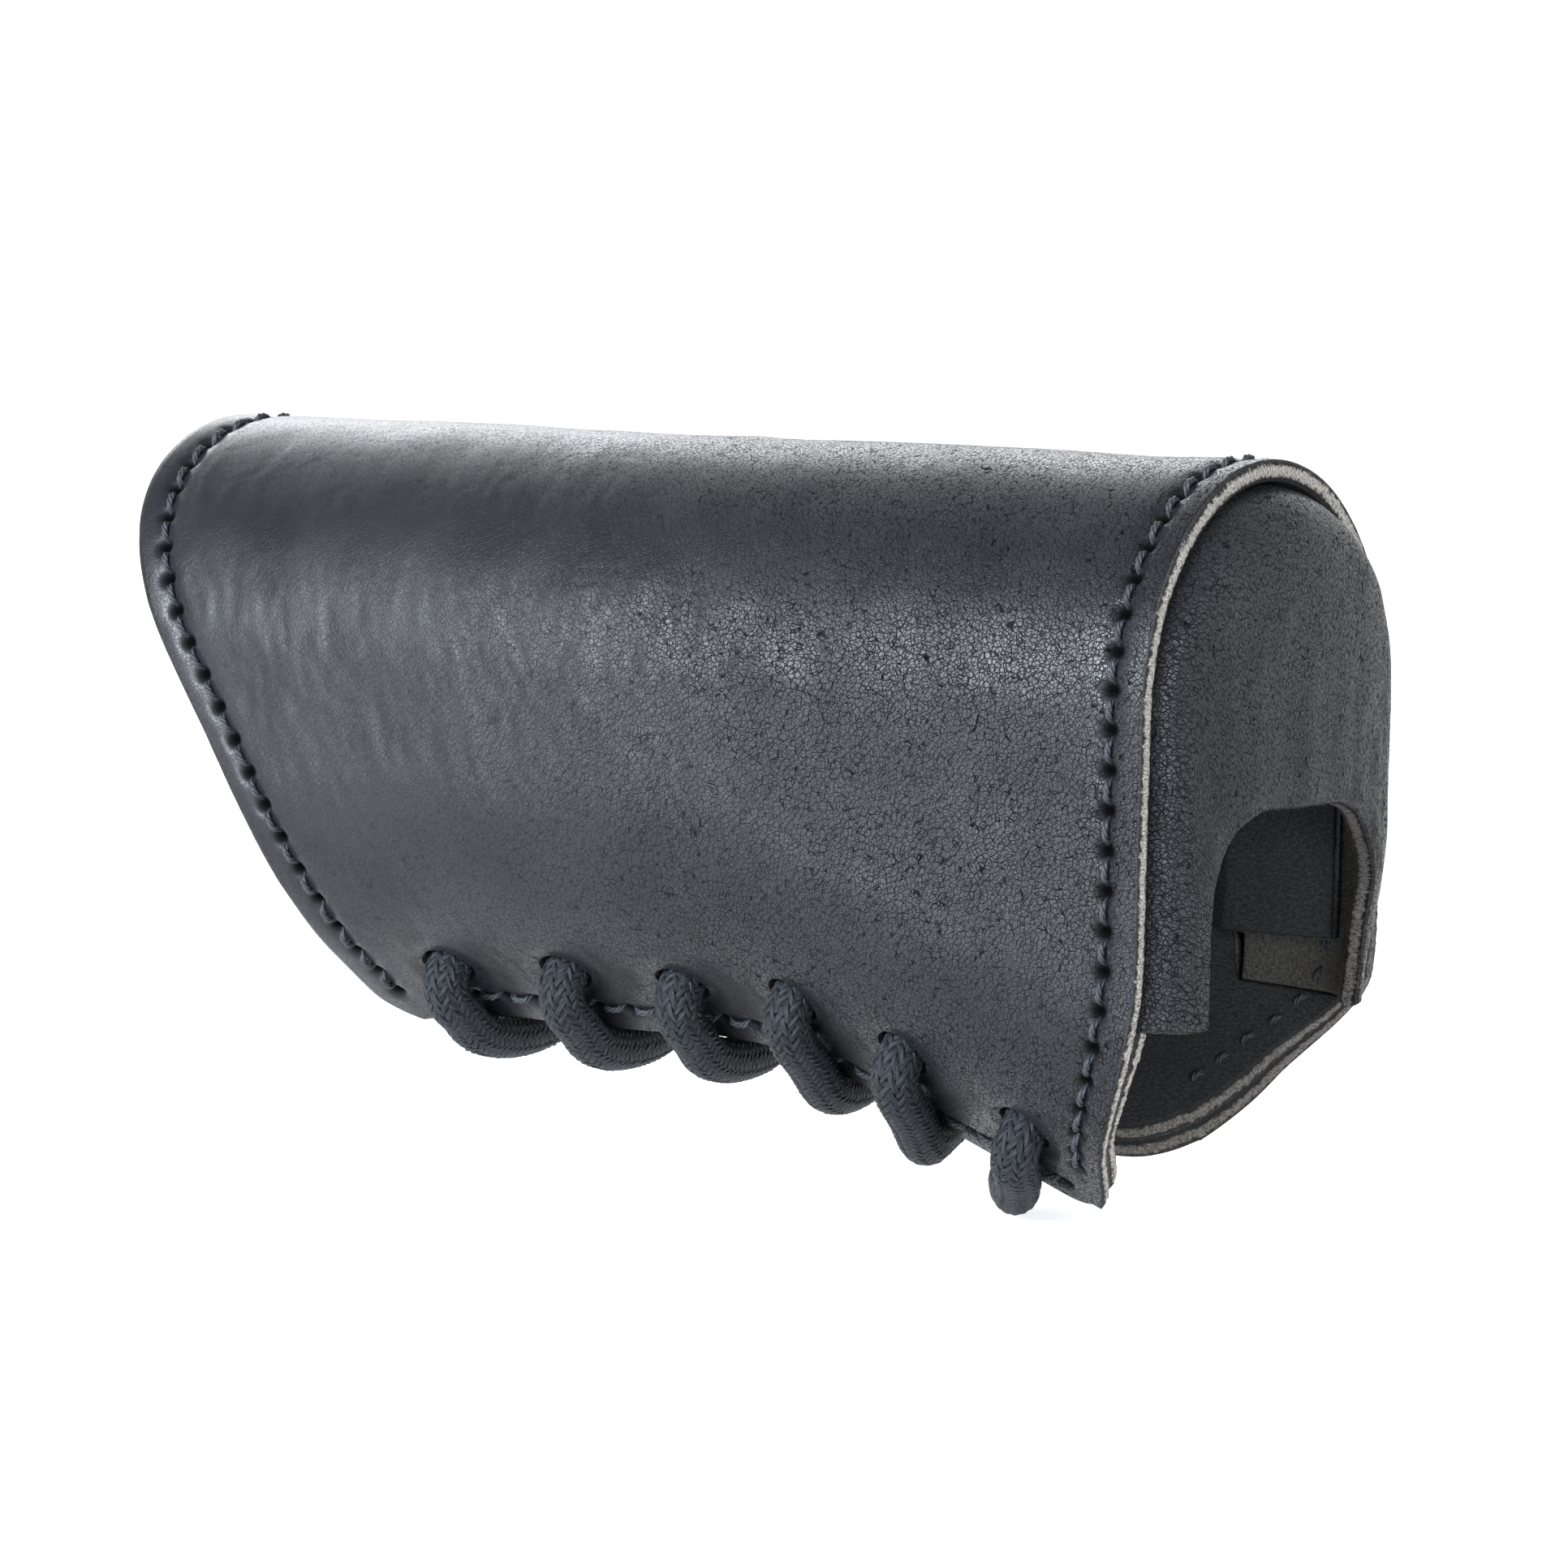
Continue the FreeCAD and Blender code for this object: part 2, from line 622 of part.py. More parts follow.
os.makedirs("parts", exist_ok=True)
for name, item in NODES.items():
    item.Label = name
    shape = item.Shape
    if shape.isNull() or not shape.isValid():
        raise RuntimeError(f"{name} is not a valid shape")
    shape.exportStep(f"parts/{name}.step")
    print(name, len(shape.Solids), "solids,", round(shape.Volume, 1), "mm3")
straight = math.pi * (size("cord") / 2) ** 2 * spine.Length
print("cord length", round(spine.Length, 1), "mm, volume", round(cord.Volume, 1),
      "mm3, section x length", round(straight, 1), "mm3")
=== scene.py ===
import math

import bpy
import numpy as np
from mathutils import Matrix, Vector, kdtree


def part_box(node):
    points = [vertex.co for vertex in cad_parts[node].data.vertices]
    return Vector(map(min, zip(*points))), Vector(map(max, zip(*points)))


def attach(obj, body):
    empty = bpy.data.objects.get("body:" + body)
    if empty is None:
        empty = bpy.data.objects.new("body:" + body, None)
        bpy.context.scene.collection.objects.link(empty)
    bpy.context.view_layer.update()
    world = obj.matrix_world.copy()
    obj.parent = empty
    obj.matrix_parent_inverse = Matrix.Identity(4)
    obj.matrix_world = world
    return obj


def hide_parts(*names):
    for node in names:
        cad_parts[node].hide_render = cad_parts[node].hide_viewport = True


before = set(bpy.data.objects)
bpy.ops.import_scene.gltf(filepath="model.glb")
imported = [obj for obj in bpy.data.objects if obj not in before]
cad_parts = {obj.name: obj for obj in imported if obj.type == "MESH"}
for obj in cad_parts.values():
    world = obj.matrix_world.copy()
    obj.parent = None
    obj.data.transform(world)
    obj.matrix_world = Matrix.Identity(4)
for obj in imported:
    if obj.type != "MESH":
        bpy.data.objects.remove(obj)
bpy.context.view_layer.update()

# Lengths below are millimetres in the frame's axes: +X to the capped front, +Z up.
# Meshes are scaled to metres when they are made.
MM = 0.001
SEED = 20251117

shell_low, shell_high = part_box("outer_shell")
cap_low, cap_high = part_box("end_cap")
facing_low, facing_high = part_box("near_facing")

CREST = shell_high.z / MM
HALF = shell_high.y / MM
RIM = shell_high.x / MM
LEG_END = cap_low.z / MM
FACING_TOP = round(facing_high.z / MM, 3)

# Thicknesses and the air between layers
LEATHER = 2.0
GAP = 0.1
FACING = 2.0
LINING = 1.4
SECOND = LEATHER + GAP
CAP_INNER = SECOND + FACING

# The wrap's section, its laced edge, the front rim, the rear edge and the front tips
CURL_RADIUS = 23.0
CURL_ANGLE = math.radians(53.0)
CURL_FLAT = 11.2
SEAM_HEIGHT = 13.7
CORNER_DROP, CORNER_START, CORNER_END = 1.3, -35.0, -27.0
SLOPE_START, SLOPE_FULL, SLOPE = 3.0, 15.0, 0.36
RIM_FALL, RIM_BACK, RIM_POWER = 27.3, 14.6, 2.2
REAR_FOOT, REAR_RUN, REAR_LOW, REAR_RISE, REAR_POWER = -38.0, 23.5, 11.3, 58.0, 1.15
CORNER_HEIGHT, CORNER_ROUND = 15.8, 4.0
FAR_TIP, FAR_TIP_START, FAR_TIP_RUN, FAR_TIP_RISE = 4.9, 39.5, 5.0, 1.6
NEAR_TIP_START, NEAR_TIP_RUN, NEAR_TIP_RISE = 39.5, 4.0, 1.5
FAR_BACK, FAR_BACK_TOP, FAR_BACK_FALL = 4.3, 23.0, 11.0

# The cap, the liner inside it and the facings
CAP_DOME, CAP_BULGE, CAP_SHOULDER, CAP_CROWN = 109.0, 4.75, 3.6, 2.6
CAP_SKEW = 3.8
TUCK, TUCK_RUN = 2.6, 17.0
FLANGE = 12.0
LINER_FOOT, LINER_FRONT, LINER_STEP, LINER_RAMP = 26.3, 1.4, 0.8, 5.0
FACING_FRONT = 20.2
NOTCH_HALF, NOTCH_TOP, NOTCH_ROUND = 14.4, 40.1, 9.0
LEG_SPLIT = 0.18  # share of the cap's section that each leg takes

# Seams and lacing
STITCH = 3.6
CORD = 4.4
CORD_AIR = 0.15
FRONT_INSET, REAR_INSET, EDGE_INSET = 3.2, 3.2, 3.6
EDGE_SEAM_REAR, NEAR_SEAM_FRONT, FAR_SEAM_FRONT = 8.0, 15.5, 19.5  # edge seams end short of foot and rim
LACE_RADIUS = 2.75
CORD_LEAN = 0.42
SAG = 0.05

# near hole x, far hole x, distance of both from the laced edge, and x midway under the cover, from the front
LACE = (
    (41.3, 28.0, 12.7, 31.4),
    (28.8, 19.0, 14.7, 22.9),
    (16.2, 9.8, 13.8, 13.2),
    (1.4, -1.4, 9.5, 0.0),
    (-12.2, -14.0, 9.5, -13.2),
    (-26.6, -26.6, 8.6, -26.6),
)


# ---- shape of the leather

def clamp01(t):
    """Limits values to 0..1."""
    return np.clip(t, 0.0, 1.0)


def smooth(t):
    """Eased step from 0 to 1."""
    t = clamp01(t)
    return t * t * (3 - 2 * t)


def seam_z(x):
    """Height of the laced edge."""
    x = np.asarray(x, float)
    run = clamp01((x - SLOPE_START) / (SLOPE_FULL - SLOPE_START))
    blend = (SLOPE_FULL - SLOPE_START) / 2 * run ** 2
    fall = SLOPE * (blend + np.maximum(x - SLOPE_FULL, 0.0))
    corner = clamp01((CORNER_END - x) / (CORNER_END - CORNER_START))
    return SEAM_HEIGHT - fall - CORNER_DROP * corner


def curl_top(x):
    """Height where the side starts to curl in."""
    return seam_z(x) + CURL_RADIUS * math.sin(CURL_ANGLE) + CURL_FLAT * math.cos(CURL_ANGLE)


def foot_s(x):
    """Distance along the leather from the crest to the laced edge."""
    upright = CREST - HALF - curl_top(x)
    return HALF * math.pi / 2 + upright + CURL_RADIUS * CURL_ANGLE + CURL_FLAT


def on_wrap(x, s, depth=0.0):
    """Points and outward normals of the wrap; s is signed distance from the crest on the outer face."""
    x, s = np.broadcast_arrays(np.asarray(x, float), np.asarray(s, float))
    side = np.where(s >= 0, 1.0, -1.0)
    rest = np.abs(s)
    axis = CREST - HALF
    spring = curl_top(x)
    arch = np.minimum(rest / HALF, math.pi / 2)
    y = HALF * np.sin(arch)
    z = axis + HALF * np.cos(arch)
    rest = np.maximum(rest - HALF * math.pi / 2, 0.0)
    upright = np.minimum(rest, axis - spring)
    z = z - upright
    rest = rest - upright
    turn = np.minimum(rest / CURL_RADIUS, CURL_ANGLE)
    y = y - CURL_RADIUS * (1 - np.cos(turn))
    z = z - CURL_RADIUS * np.sin(turn)
    rest = rest - CURL_RADIUS * turn
    y = y - rest * np.sin(turn)
    z = z - rest * np.cos(turn)
    angle = arch + turn
    ny, nz = np.sin(angle), np.cos(angle)
    normal = np.stack([np.zeros_like(ny), side * ny, nz], -1)
    point = np.stack([x, side * y, z], -1)
    return point - normal * np.asarray(depth)[..., None], normal


def rim_x(z):
    """The front rim, which runs back to its tip below a height."""
    fall = clamp01((RIM_FALL - z) / RIM_FALL)
    return RIM - RIM_BACK * fall ** RIM_POWER


def far_rim_x(z):
    """The far side's front edge, which is cut further back below the cap."""
    return rim_x(z) - FAR_BACK * smooth((FAR_BACK_TOP - z) / FAR_BACK_FALL)


def rear_x(z):
    """The rear edge, leaning back to the crest and rounded at its lower corner."""
    lean = clamp01((z - REAR_LOW) / REAR_RISE) ** REAR_POWER
    rounding = np.clip((CORNER_HEIGHT - z) / 3.5, 0.0, 1.2)
    return REAR_FOOT - REAR_RUN * lean ** 2 * (3 - 2 * lean) + CORNER_ROUND * rounding ** 2.5


def height_s(x, z):
    """Distance from the crest down to height z on the side of the wrap."""
    x, z = np.broadcast_arrays(np.asarray(x, float), np.asarray(z, float))
    spring = curl_top(x)
    drop = np.maximum(spring - z, 0.0)
    bent = CURL_RADIUS * math.sin(CURL_ANGLE)
    turn = np.arcsin(np.minimum(drop, bent) / CURL_RADIUS)
    flat = np.maximum(drop - bent, 0.0) / math.cos(CURL_ANGLE)
    return HALF * math.pi / 2 + (CREST - HALF - np.maximum(spring, z)) + CURL_RADIUS * turn + flat


def edge_dents(x):
    """How far the laced edge is pressed in where the cord passes round it."""
    dent = np.zeros(np.shape(x))
    for near_x, _far_x, _inset, low_x in LACE:
        dent = dent + 0.25 * np.exp(-((x - 0.5 * (near_x + low_x)) / 2.6) ** 2)
    return dent


def reach_s(x, side):
    """Distance from the crest to the lower edge; the far side's front tip is cut shorter and rounded."""
    blunt = NEAR_TIP_RISE * clamp01((x - NEAR_TIP_START) / NEAR_TIP_RUN) ** 2.2
    full = foot_s(x) - blunt - edge_dents(x)
    lift = clamp01((x - FAR_TIP_START) / FAR_TIP_RUN)
    short = height_s(x, FAR_TIP + FAR_TIP_RISE * lift ** 2.2)
    return np.where((side > 0) & (x > 20.0), np.minimum(full, short), full)


def meet(edge, share):
    """x where a line of constant share of the section meets an edge given as x over height."""
    x = np.broadcast_to(edge(CREST), share.shape).astype(float)
    for _ in range(60):
        point, _normal = on_wrap(x, share * reach_s(x, share))
        x = 0.6 * x + 0.4 * edge(point[..., 2])
    return x


# ---- numeric helpers

def unit(vectors):
    """Rows of vectors scaled to length one."""
    return vectors / np.linalg.norm(vectors, axis=-1, keepdims=True)


def walked_along(path):
    """Distance from the start of a path to each of its points."""
    return np.concatenate([[0.0], np.cumsum(np.linalg.norm(np.diff(path, axis=0), axis=1))])


def lattice_noise(x, y, scale, seed):
    """Smooth random field in -1..1 with features about one scale wide."""
    u, v = np.asarray(x) / scale + 1000.0, np.asarray(y) / scale + 1000.0
    i, j = np.floor(u).astype(int), np.floor(v).astype(int)
    fu, fv = u - i, v - j
    fu, fv = fu * fu * (3 - 2 * fu), fv * fv * (3 - 2 * fv)
    table = np.random.default_rng(seed).uniform(-1, 1, (256, 256))

    def at(a, b):
        return table[a % 256, b % 256]

    low = at(i, j) * (1 - fu) + at(i + 1, j) * fu
    high = at(i, j + 1) * (1 - fu) + at(i + 1, j + 1) * fu
    return low * (1 - fv) + high * fv


def even_points(points, normals, pitch):
    """Points and normals one pitch apart along a dense path."""
    walked = walked_along(points)
    count = int(round(walked[-1] / pitch))
    marks = np.linspace(0.0, walked[-1], count + 1)
    at, out = [np.stack([np.interp(marks, walked, a[:, k]) for k in range(3)], -1) for a in (points, normals)]
    return at, unit(out)


def seam_across(edge, far_edge, inset, low, far_low):
    """Needle points of a seam that follows an edge over the crest, down to a height on each side."""
    share = np.linspace(-1.25, 1.25, 1601)
    reach = foot_s(edge(CREST) + inset)
    x = np.full(share.shape, float(edge(CREST)) + inset)
    for _ in range(40):
        point, normal = on_wrap(x, share * reach)
        wanted = np.where(share > 0, far_edge(point[:, 2]), edge(point[:, 2]))
        x = 0.5 * x + 0.5 * (wanted + inset)
    point, normal = on_wrap(x, share * reach)
    keep = point[:, 2] > np.where(share > 0, far_low, low)
    return even_points(point[keep], normal[keep], STITCH)


def seam_along(side, start, end):
    """Needle points of the seam just above a laced edge."""
    x = np.linspace(start, end, 401)
    point, normal = on_wrap(x, side * (foot_s(x) - EDGE_INSET))
    return even_points(point, normal, STITCH)


def new_object(name, material, verts, faces, attributes):
    """Smooth mesh object from millimetre vertices, with named float or vector point attributes."""
    mesh = bpy.data.meshes.new(name)
    mesh.from_pydata((np.asarray(verts, float) * MM).tolist(), [], np.asarray(faces).tolist())
    for key, values in attributes.items():
        values = np.asarray(values, np.float32)
        if values.ndim == 1:
            layer = mesh.attributes.new(key, "FLOAT", "POINT")
            layer.data.foreach_set("value", values)
        else:
            layer = mesh.attributes.new(key, "FLOAT_VECTOR", "POINT")
            layer.data.foreach_set("vector", values.ravel())
    mesh.polygons.foreach_set("use_smooth", [True] * len(mesh.polygons))
    mesh.materials.append(material)
    mesh.update()
    piece = bpy.data.objects.new(name, mesh)
    bpy.context.scene.collection.objects.link(piece)
    return piece


def grid_faces(rows, cols, start=0, flip=False, closed=False):
    """Quads of a rows x cols grid of vertices; closed joins the last column to the first."""
    r = np.arange(rows - 1)[:, None]
    c = np.arange(cols if closed else cols - 1)[None, :]
    d = (c + 1) % cols
    a = start + r * cols + c
    b = start + r * cols + d
    quads = np.stack([a, b, b + cols, a + cols], -1).reshape(-1, 4)
    return quads[:, ::-1] if flip else quads


def grid_normals(points):
    """Unit normals of a rows x cols grid of points."""
    down = np.gradient(points, axis=0)
    across = np.gradient(points, axis=1)
    normal = np.cross(across, down)
    return normal / np.maximum(np.linalg.norm(normal, axis=-1, keepdims=True), 1e-9)


class Finder:
    """Distance from many points to the nearest of a set of points."""

    def __init__(self, points):
        self.tree = kdtree.KDTree(len(points))
        for i, p in enumerate(points):
            self.tree.insert(p, i)
        self.tree.balance()

    def distance(self, points):
        flat = points.reshape(-1, 3)
        found = np.fromiter((self.tree.find(p)[2] for p in flat.tolist()), float, len(flat))
        return found.reshape(points.shape[:-1])


# ---- seams and lacing

REAR_CORNER = float(seam_z(REAR_FOOT))
SEAMS = {
    "front": seam_across(rim_x, far_rim_x, -FRONT_INSET, REAR_LOW - 5.0, FAR_TIP + 3.6),
    "rear": seam_across(rear_x, rear_x, REAR_INSET, REAR_CORNER + 3.0, REAR_CORNER + 3.0),
    "near_edge": seam_along(-1, REAR_FOOT + EDGE_SEAM_REAR, RIM - NEAR_SEAM_FRONT),
    "far_edge": seam_along(1, REAR_FOOT + EDGE_SEAM_REAR, RIM - FAR_SEAM_FRONT),
}


def lace_hole(x, inset, side):
    """Middle and outward axis of a lace hole."""
    return on_wrap(x, side * (foot_s(x) - inset))


def lace_route():
    """Points the lacing cord runs through, and the lace holes with their outward axes."""
    lift = CORD / 2 + CORD_AIR
    through = LEATHER + FACING
    route, holes = [], []
    for near_x, far_x, inset, low_x in LACE:
        loop = []
        for side, hole_x in ((-1, near_x), (1, far_x)):
            hole, out = lace_hole(hole_x, inset, side)
            holes.append((hole, out))
            foot_x = low_x + (hole_x - low_x) * CORD_LEAN
            foot, _normal = on_wrap(foot_x, side * foot_s(foot_x))
            flank_x = 0.5 * (hole_x + foot_x)
            flank, flank_out = on_wrap(flank_x, side * (foot_s(flank_x) - inset * 0.46))
            down = (foot - hole) / np.linalg.norm(foot - hole)
            loop.append([
                hole - out * (through + 2.4),
                hole - out * (through * 0.5),
                hole + out * 1.3 + down * 0.35,
                hole + out * (lift + 0.1) + down * 2.2,
                flank + flank_out * (lift + 0.05),
                foot + np.array([0.0, side * 0.78, -0.62]) * lift,
            ])
        low = np.array([low_x, 0.0, float(seam_z(low_x)) - lift - SAG])
        route += loop[0] + [low] + loop[1][::-1]
    return np.array(route), holes


def follow(points, step):
    """Smooth curve through points, sampled a step apart (centripetal Catmull-Rom)."""
    knots = np.concatenate([[2 * points[0] - points[1]], points, [2 * points[-1] - points[-2]]])
    path = []
    for p0, p1, p2, p3 in zip(knots, knots[1:], knots[2:], knots[3:]):
        t1 = np.linalg.norm(p1 - p0) ** 0.5
        t2 = t1 + np.linalg.norm(p2 - p1) ** 0.5
        t3 = t2 + np.linalg.norm(p3 - p2) ** 0.5
        t = np.linspace(t1, t2, 16, endpoint=False)[:, None]
        a1 = p0 * (t1 - t) / t1 + p1 * t / t1
        a2 = p1 * (t2 - t) / (t2 - t1) + p2 * (t - t1) / (t2 - t1)
        a3 = p2 * (t3 - t) / (t3 - t2) + p3 * (t - t2) / (t3 - t2)
        b1 = a1 * (t2 - t) / t2 + a2 * t / t2
        b2 = a2 * (t3 - t) / (t3 - t1) + a3 * (t - t1) / (t3 - t1)
        path.append(b1 * (t2 - t) / (t2 - t1) + b2 * (t - t1) / (t2 - t1))
    path = np.concatenate(path + [points[-1:]])
    walked = walked_along(path)
    marks = np.linspace(0.0, walked[-1], int(walked[-1] / step) + 1)
    return np.stack([np.interp(marks, walked, path[:, k]) for k in range(3)], -1)


def frames_along(path):
    """Tangent and two cross directions at each point, carried along without twisting."""
    tangent = unit(np.gradient(path, axis=0))
    first = np.cross(tangent[0], [0.3, 0.2, 1.0])
    normal = np.empty_like(path)
    normal[0] = first / np.linalg.norm(first)
    for i in range(1, len(path)):
        carried = normal[i - 1] - tangent[i] * (normal[i - 1] @ tangent[i])
        normal[i] = carried / np.linalg.norm(carried)
    return tangent, normal, np.cross(tangent, normal)


LACE_POINTS, LACE_HOLES = lace_route()
LACE_PATH = follow(LACE_POINTS, 0.3)


# ---- materials

class Shader:
    """Writes a node tree: each call adds one node and returns its output socket."""

    def __init__(self, name):
        self.material = bpy.data.materials.new(name)
        self.material.use_nodes = True
        self.tree = self.material.node_tree
        self.tree.nodes.clear()

    def add(self, kind, inputs, out=0, **settings):
        item = self.tree.nodes.new(kind)
        for key, value in settings.items():
            setattr(item, key, value)
        for key, value in inputs.items():
            if isinstance(value, bpy.types.NodeSocket):
                self.tree.links.new(value, item.inputs[key])
            else:
                item.inputs[key].default_value = value
        return item.outputs[out] if item.outputs else None

    def math(self, operation, a, b=0.0):
        return self.add("ShaderNodeMath", {0: a, 1: b}, operation=operation)

    def vector(self, operation, a, b=(0.0, 0.0, 0.0)):
        return self.add("ShaderNodeVectorMath", {0: a, 1: b}, operation=operation)

    def scaled(self, a, factor):
        return self.add("ShaderNodeVectorMath", {0: a, "Scale": factor}, operation="SCALE")

    def mix(self, factor, a, b):
        return self.add("ShaderNodeMix", {0: factor, 6: a, 7: b}, out=2, data_type="RGBA")

    def blend(self, factor, a, b):
        return self.add("ShaderNodeMix", {0: factor, 2: a, 3: b}, data_type="FLOAT")

    def span(self, value, low, high, to_low=0.0, to_high=1.0):
        return self.add("ShaderNodeMapRange", {0: value, 1: low, 2: high, 3: to_low, 4: to_high},
                        interpolation_type="SMOOTHSTEP")

    def noise(self, vector, scale, detail=3.0, roughness=0.55, out=0):
        return self.add("ShaderNodeTexNoise",
                        {"Vector": vector, "Scale": scale, "Detail": detail, "Roughness": roughness}, out=out)

    def cells(self, vector, scale, feature="DISTANCE_TO_EDGE"):
        return self.add("ShaderNodeTexVoronoi", {"Vector": vector, "Scale": scale, "Randomness": 1.0},
                        feature=feature)

    def attribute(self, name, vector=False):
        return self.add("ShaderNodeAttribute", {}, out=1 if vector else 2, attribute_name=name)

    def bump(self, height, distance, normal=None):
        inputs = {"Height": height, "Distance": distance, "Strength": 1.0}
        if normal is not None:
            inputs["Normal"] = normal
        return self.add("ShaderNodeBump", inputs)

    def finish(self, **inputs):
        named = {key.replace("_", " ").title().replace("Ior", "IOR"): value for key, value in inputs.items()}
        surface = self.add("ShaderNodeBsdfPrincipled", named)
        self.add("ShaderNodeOutputMaterial", {"Surface": surface})
        return self.material


def warped(shader, place, size, amount):
    """Coordinates pushed about by noise, so that no pattern runs straight."""
    push = shader.noise(place, 1.0 / size, 2.0, out=1)
    centred = shader.vector("SUBTRACT", push, (0.5, 0.5, 0.5))
    return shader.vector("ADD", place, shader.scaled(centred, amount))


def suede(shader, place, dark, light):
    """Colour and height of raw, fibrous leather."""
    nap = shader.noise(place, 3.2, 6.0, 0.75)
    fibre = shader.noise(shader.vector("MULTIPLY", place, (0.6, 2.4, 1.0)), 2.2, 4.0, 0.7)
    mottle = shader.math("ADD", shader.math("MULTIPLY", nap, 0.6), shader.math("MULTIPLY", fibre, 0.4))
    return shader.mix(shader.span(mottle, 0.36, 0.66), dark, light), mottle


def raw_edge(shader, place, dark, light):
    """Cut edge: dyed dark towards both faces, with a pale fibrous line between that is dimmed as painted
    shade lower down the far side; place.z runs across it.
    """
    fuzz = shader.noise(shader.vector("MULTIPLY", place, (1.0, 1.0, 0.6)), 5.0, 4.0, 0.8)
    colour = shader.mix(shader.span(fuzz, 0.38, 0.60), dark, light)
    across = shader.add("ShaderNodeSeparateXYZ", {"Vector": place}, out=2)
    wander = shader.math("MULTIPLY", shader.math("SUBTRACT", shader.noise(place, 1.6, 4.0, 0.7), 0.5), 1.5)
    share = shader.math("ADD", across, wander)
    pale = shader.math("MULTIPLY", shader.span(share, 0.35, 0.75), shader.span(share, 1.3, 1.75, 1.0, 0.0))
    around = shader.add("ShaderNodeSeparateXYZ", {"Vector": place}, out=1)
    # Painted shade: lower down the far side the pale line keeps only 0.3 of its strength.
    pale = shader.math("MULTIPLY", pale, shader.span(around, 42.0, 58.0, 1.0, 0.3))
    return shader.mix(pale, tuple(c * 0.2 for c in dark[:3]) + (1.0,), colour), fuzz


def leather(name, base, worn, cell, depth, flesh_dark, flesh_light, edge_dark, edge_light):
    """Crackled leather on the grain side, suede on the flesh side and pale fibres on a cut edge."""
    s = Shader(name)
    place = s.attribute("wrap", vector=True)
    edge, flesh, pit = s.attribute("edge"), s.attribute("flesh"), s.attribute("pit")
    bent = warped(s, warped(s, place, 5.0, 1.2), 0.6, 0.12)
    wide = s.span(s.cells(bent, 0.85 / cell), 0.0, 0.085, 1.0, 0.0)
    fine = s.span(s.cells(s.vector("ADD", bent, (31.0, 7.0, 0.0)), 1.3 / cell), 0.0, 0.12, 1.0, 0.0)
    patch = s.span(s.noise(place, 0.075, 2.0), 0.38, 0.60, 0.9, 1.0)
    broken = s.span(s.noise(place, 0.9, 3.0), 0.34, 0.52, 0.85, 1.0)
    flexed = s.span(s.add("ShaderNodeSeparateXYZ", {"Vector": place}), -45.0, 30.0, 0.35, 1.0)
    pore = s.noise(place, 5.5, 3.0, 0.7)
    net = s.math("MAXIMUM", wide, s.math("MULTIPLY", fine, 0.75))
    crackle = s.math("MULTIPLY", net, s.math("MULTIPLY", s.math("MULTIPLY", patch, broken), flexed))
    swell = s.noise(bent, 0.7, 2.0, 0.5)
    height = s.math("SUBTRACT", s.math("ADD", s.math("MULTIPLY", swell, 0.9), s.math("MULTIPLY", pore, 0.12)),
                    crackle)
    tone = s.math("ADD", s.math("MULTIPLY", s.noise(place, 0.11, 3.0), 0.6), s.math("MULTIPLY", pore, 0.4))
    grain_colour = s.mix(s.span(tone, 0.35, 0.65), base, worn)
    # Painted shade: the grain cracks are darkened to 0.15 of the base colour, where shade falls in them.
    crack_shade = tuple(c * 0.15 for c in base[:3]) + (1.0,)
    grain_colour = s.mix(s.math("MULTIPLY", crackle, 0.95), grain_colour, crack_shade)
    # Painted shade: the stitch holes are darkened to near black.
    grain_colour = s.mix(pit, grain_colour, (0.0008, 0.0008, 0.001, 1.0))
    flesh_colour, flesh_height = suede(s, place, flesh_dark, flesh_light)
    edge_colour, edge_height = raw_edge(s, place, edge_dark, edge_light)
    colour = s.mix(edge, s.mix(flesh, grain_colour, flesh_colour), edge_colour)
    raw = s.math("MAXIMUM", edge, flesh)
    dull = s.math("MAXIMUM", crackle, pit)
    polish = s.blend(dull, s.span(tone, 0.3, 0.7, 0.27, 0.34), 0.85)
    rough = s.blend(raw, polish, 0.95)
    shine = s.blend(raw, s.math("SUBTRACT", 0.38, s.math("MULTIPLY", dull, 0.36)), 0.12)
    grain_bump = s.bump(s.math("MULTIPLY", height, s.math("SUBTRACT", 1.0, raw)), depth)
    raw_height = s.math("MULTIPLY", s.math("ADD", flesh_height, edge_height), raw)
    normal = s.bump(raw_height, 0.00025, grain_bump)
    return s.finish(base_color=colour, roughness=rough, normal=normal, ior=1.5, specular_ior_level=shine)


def cord_material():
    """Dark waxed fibres, with grooves between the plies that are darkened as painted shade."""
    s = Shader("waxed_braid")
    place = s.attribute("wrap", vector=True)
    ply = s.attribute("ply")
    fibre = s.noise(s.vector("MULTIPLY", place, (0.35, 5.0, 5.0)), 2.4, 4.0, 0.7)
    groove = s.math("ABSOLUTE", s.math("SINE", s.math("MULTIPLY", ply, math.pi)))
    height = s.math("ADD", s.math("MULTIPLY", groove, 0.7), s.math("MULTIPLY", fibre, 0.8))
    wax = s.noise(place, 0.5, 3.0)
    dark, light = (0.004, 0.005, 0.0062, 1.0), (0.032, 0.039, 0.048, 1.0)
    # Fibre tone varies at random; the darkening in the grooves between the plies is painted shade.
    fibre_tone_and_groove_shade = s.math("MULTIPLY", s.span(fibre, 0.3, 0.7), s.span(groove, 0.0, 0.5, 0.35, 1.0))
    colour = s.mix(s.math("MULTIPLY", fibre_tone_and_groove_shade, s.span(wax, 0.3, 0.7, 0.6, 1.0)), dark, light)
    return s.finish(base_color=colour, roughness=0.5, normal=s.bump(height, 0.00012), ior=1.4,
                    specular_ior_level=0.3)


def thread_material():
    """Dark fibrous sewing thread."""
    s = Shader("sewing_thread")
    place = s.attribute("wrap", vector=True)
    fibre = s.noise(s.vector("MULTIPLY", place, (1.0, 6.0, 6.0)), 3.0, 3.0, 0.6)
    colour = s.mix(s.span(fibre, 0.3, 0.7), (0.009, 0.011, 0.0145, 1.0), (0.036, 0.042, 0.052, 1.0))
    return s.finish(base_color=colour, roughness=0.5, normal=s.bump(fibre, 0.00005), ior=1.45)


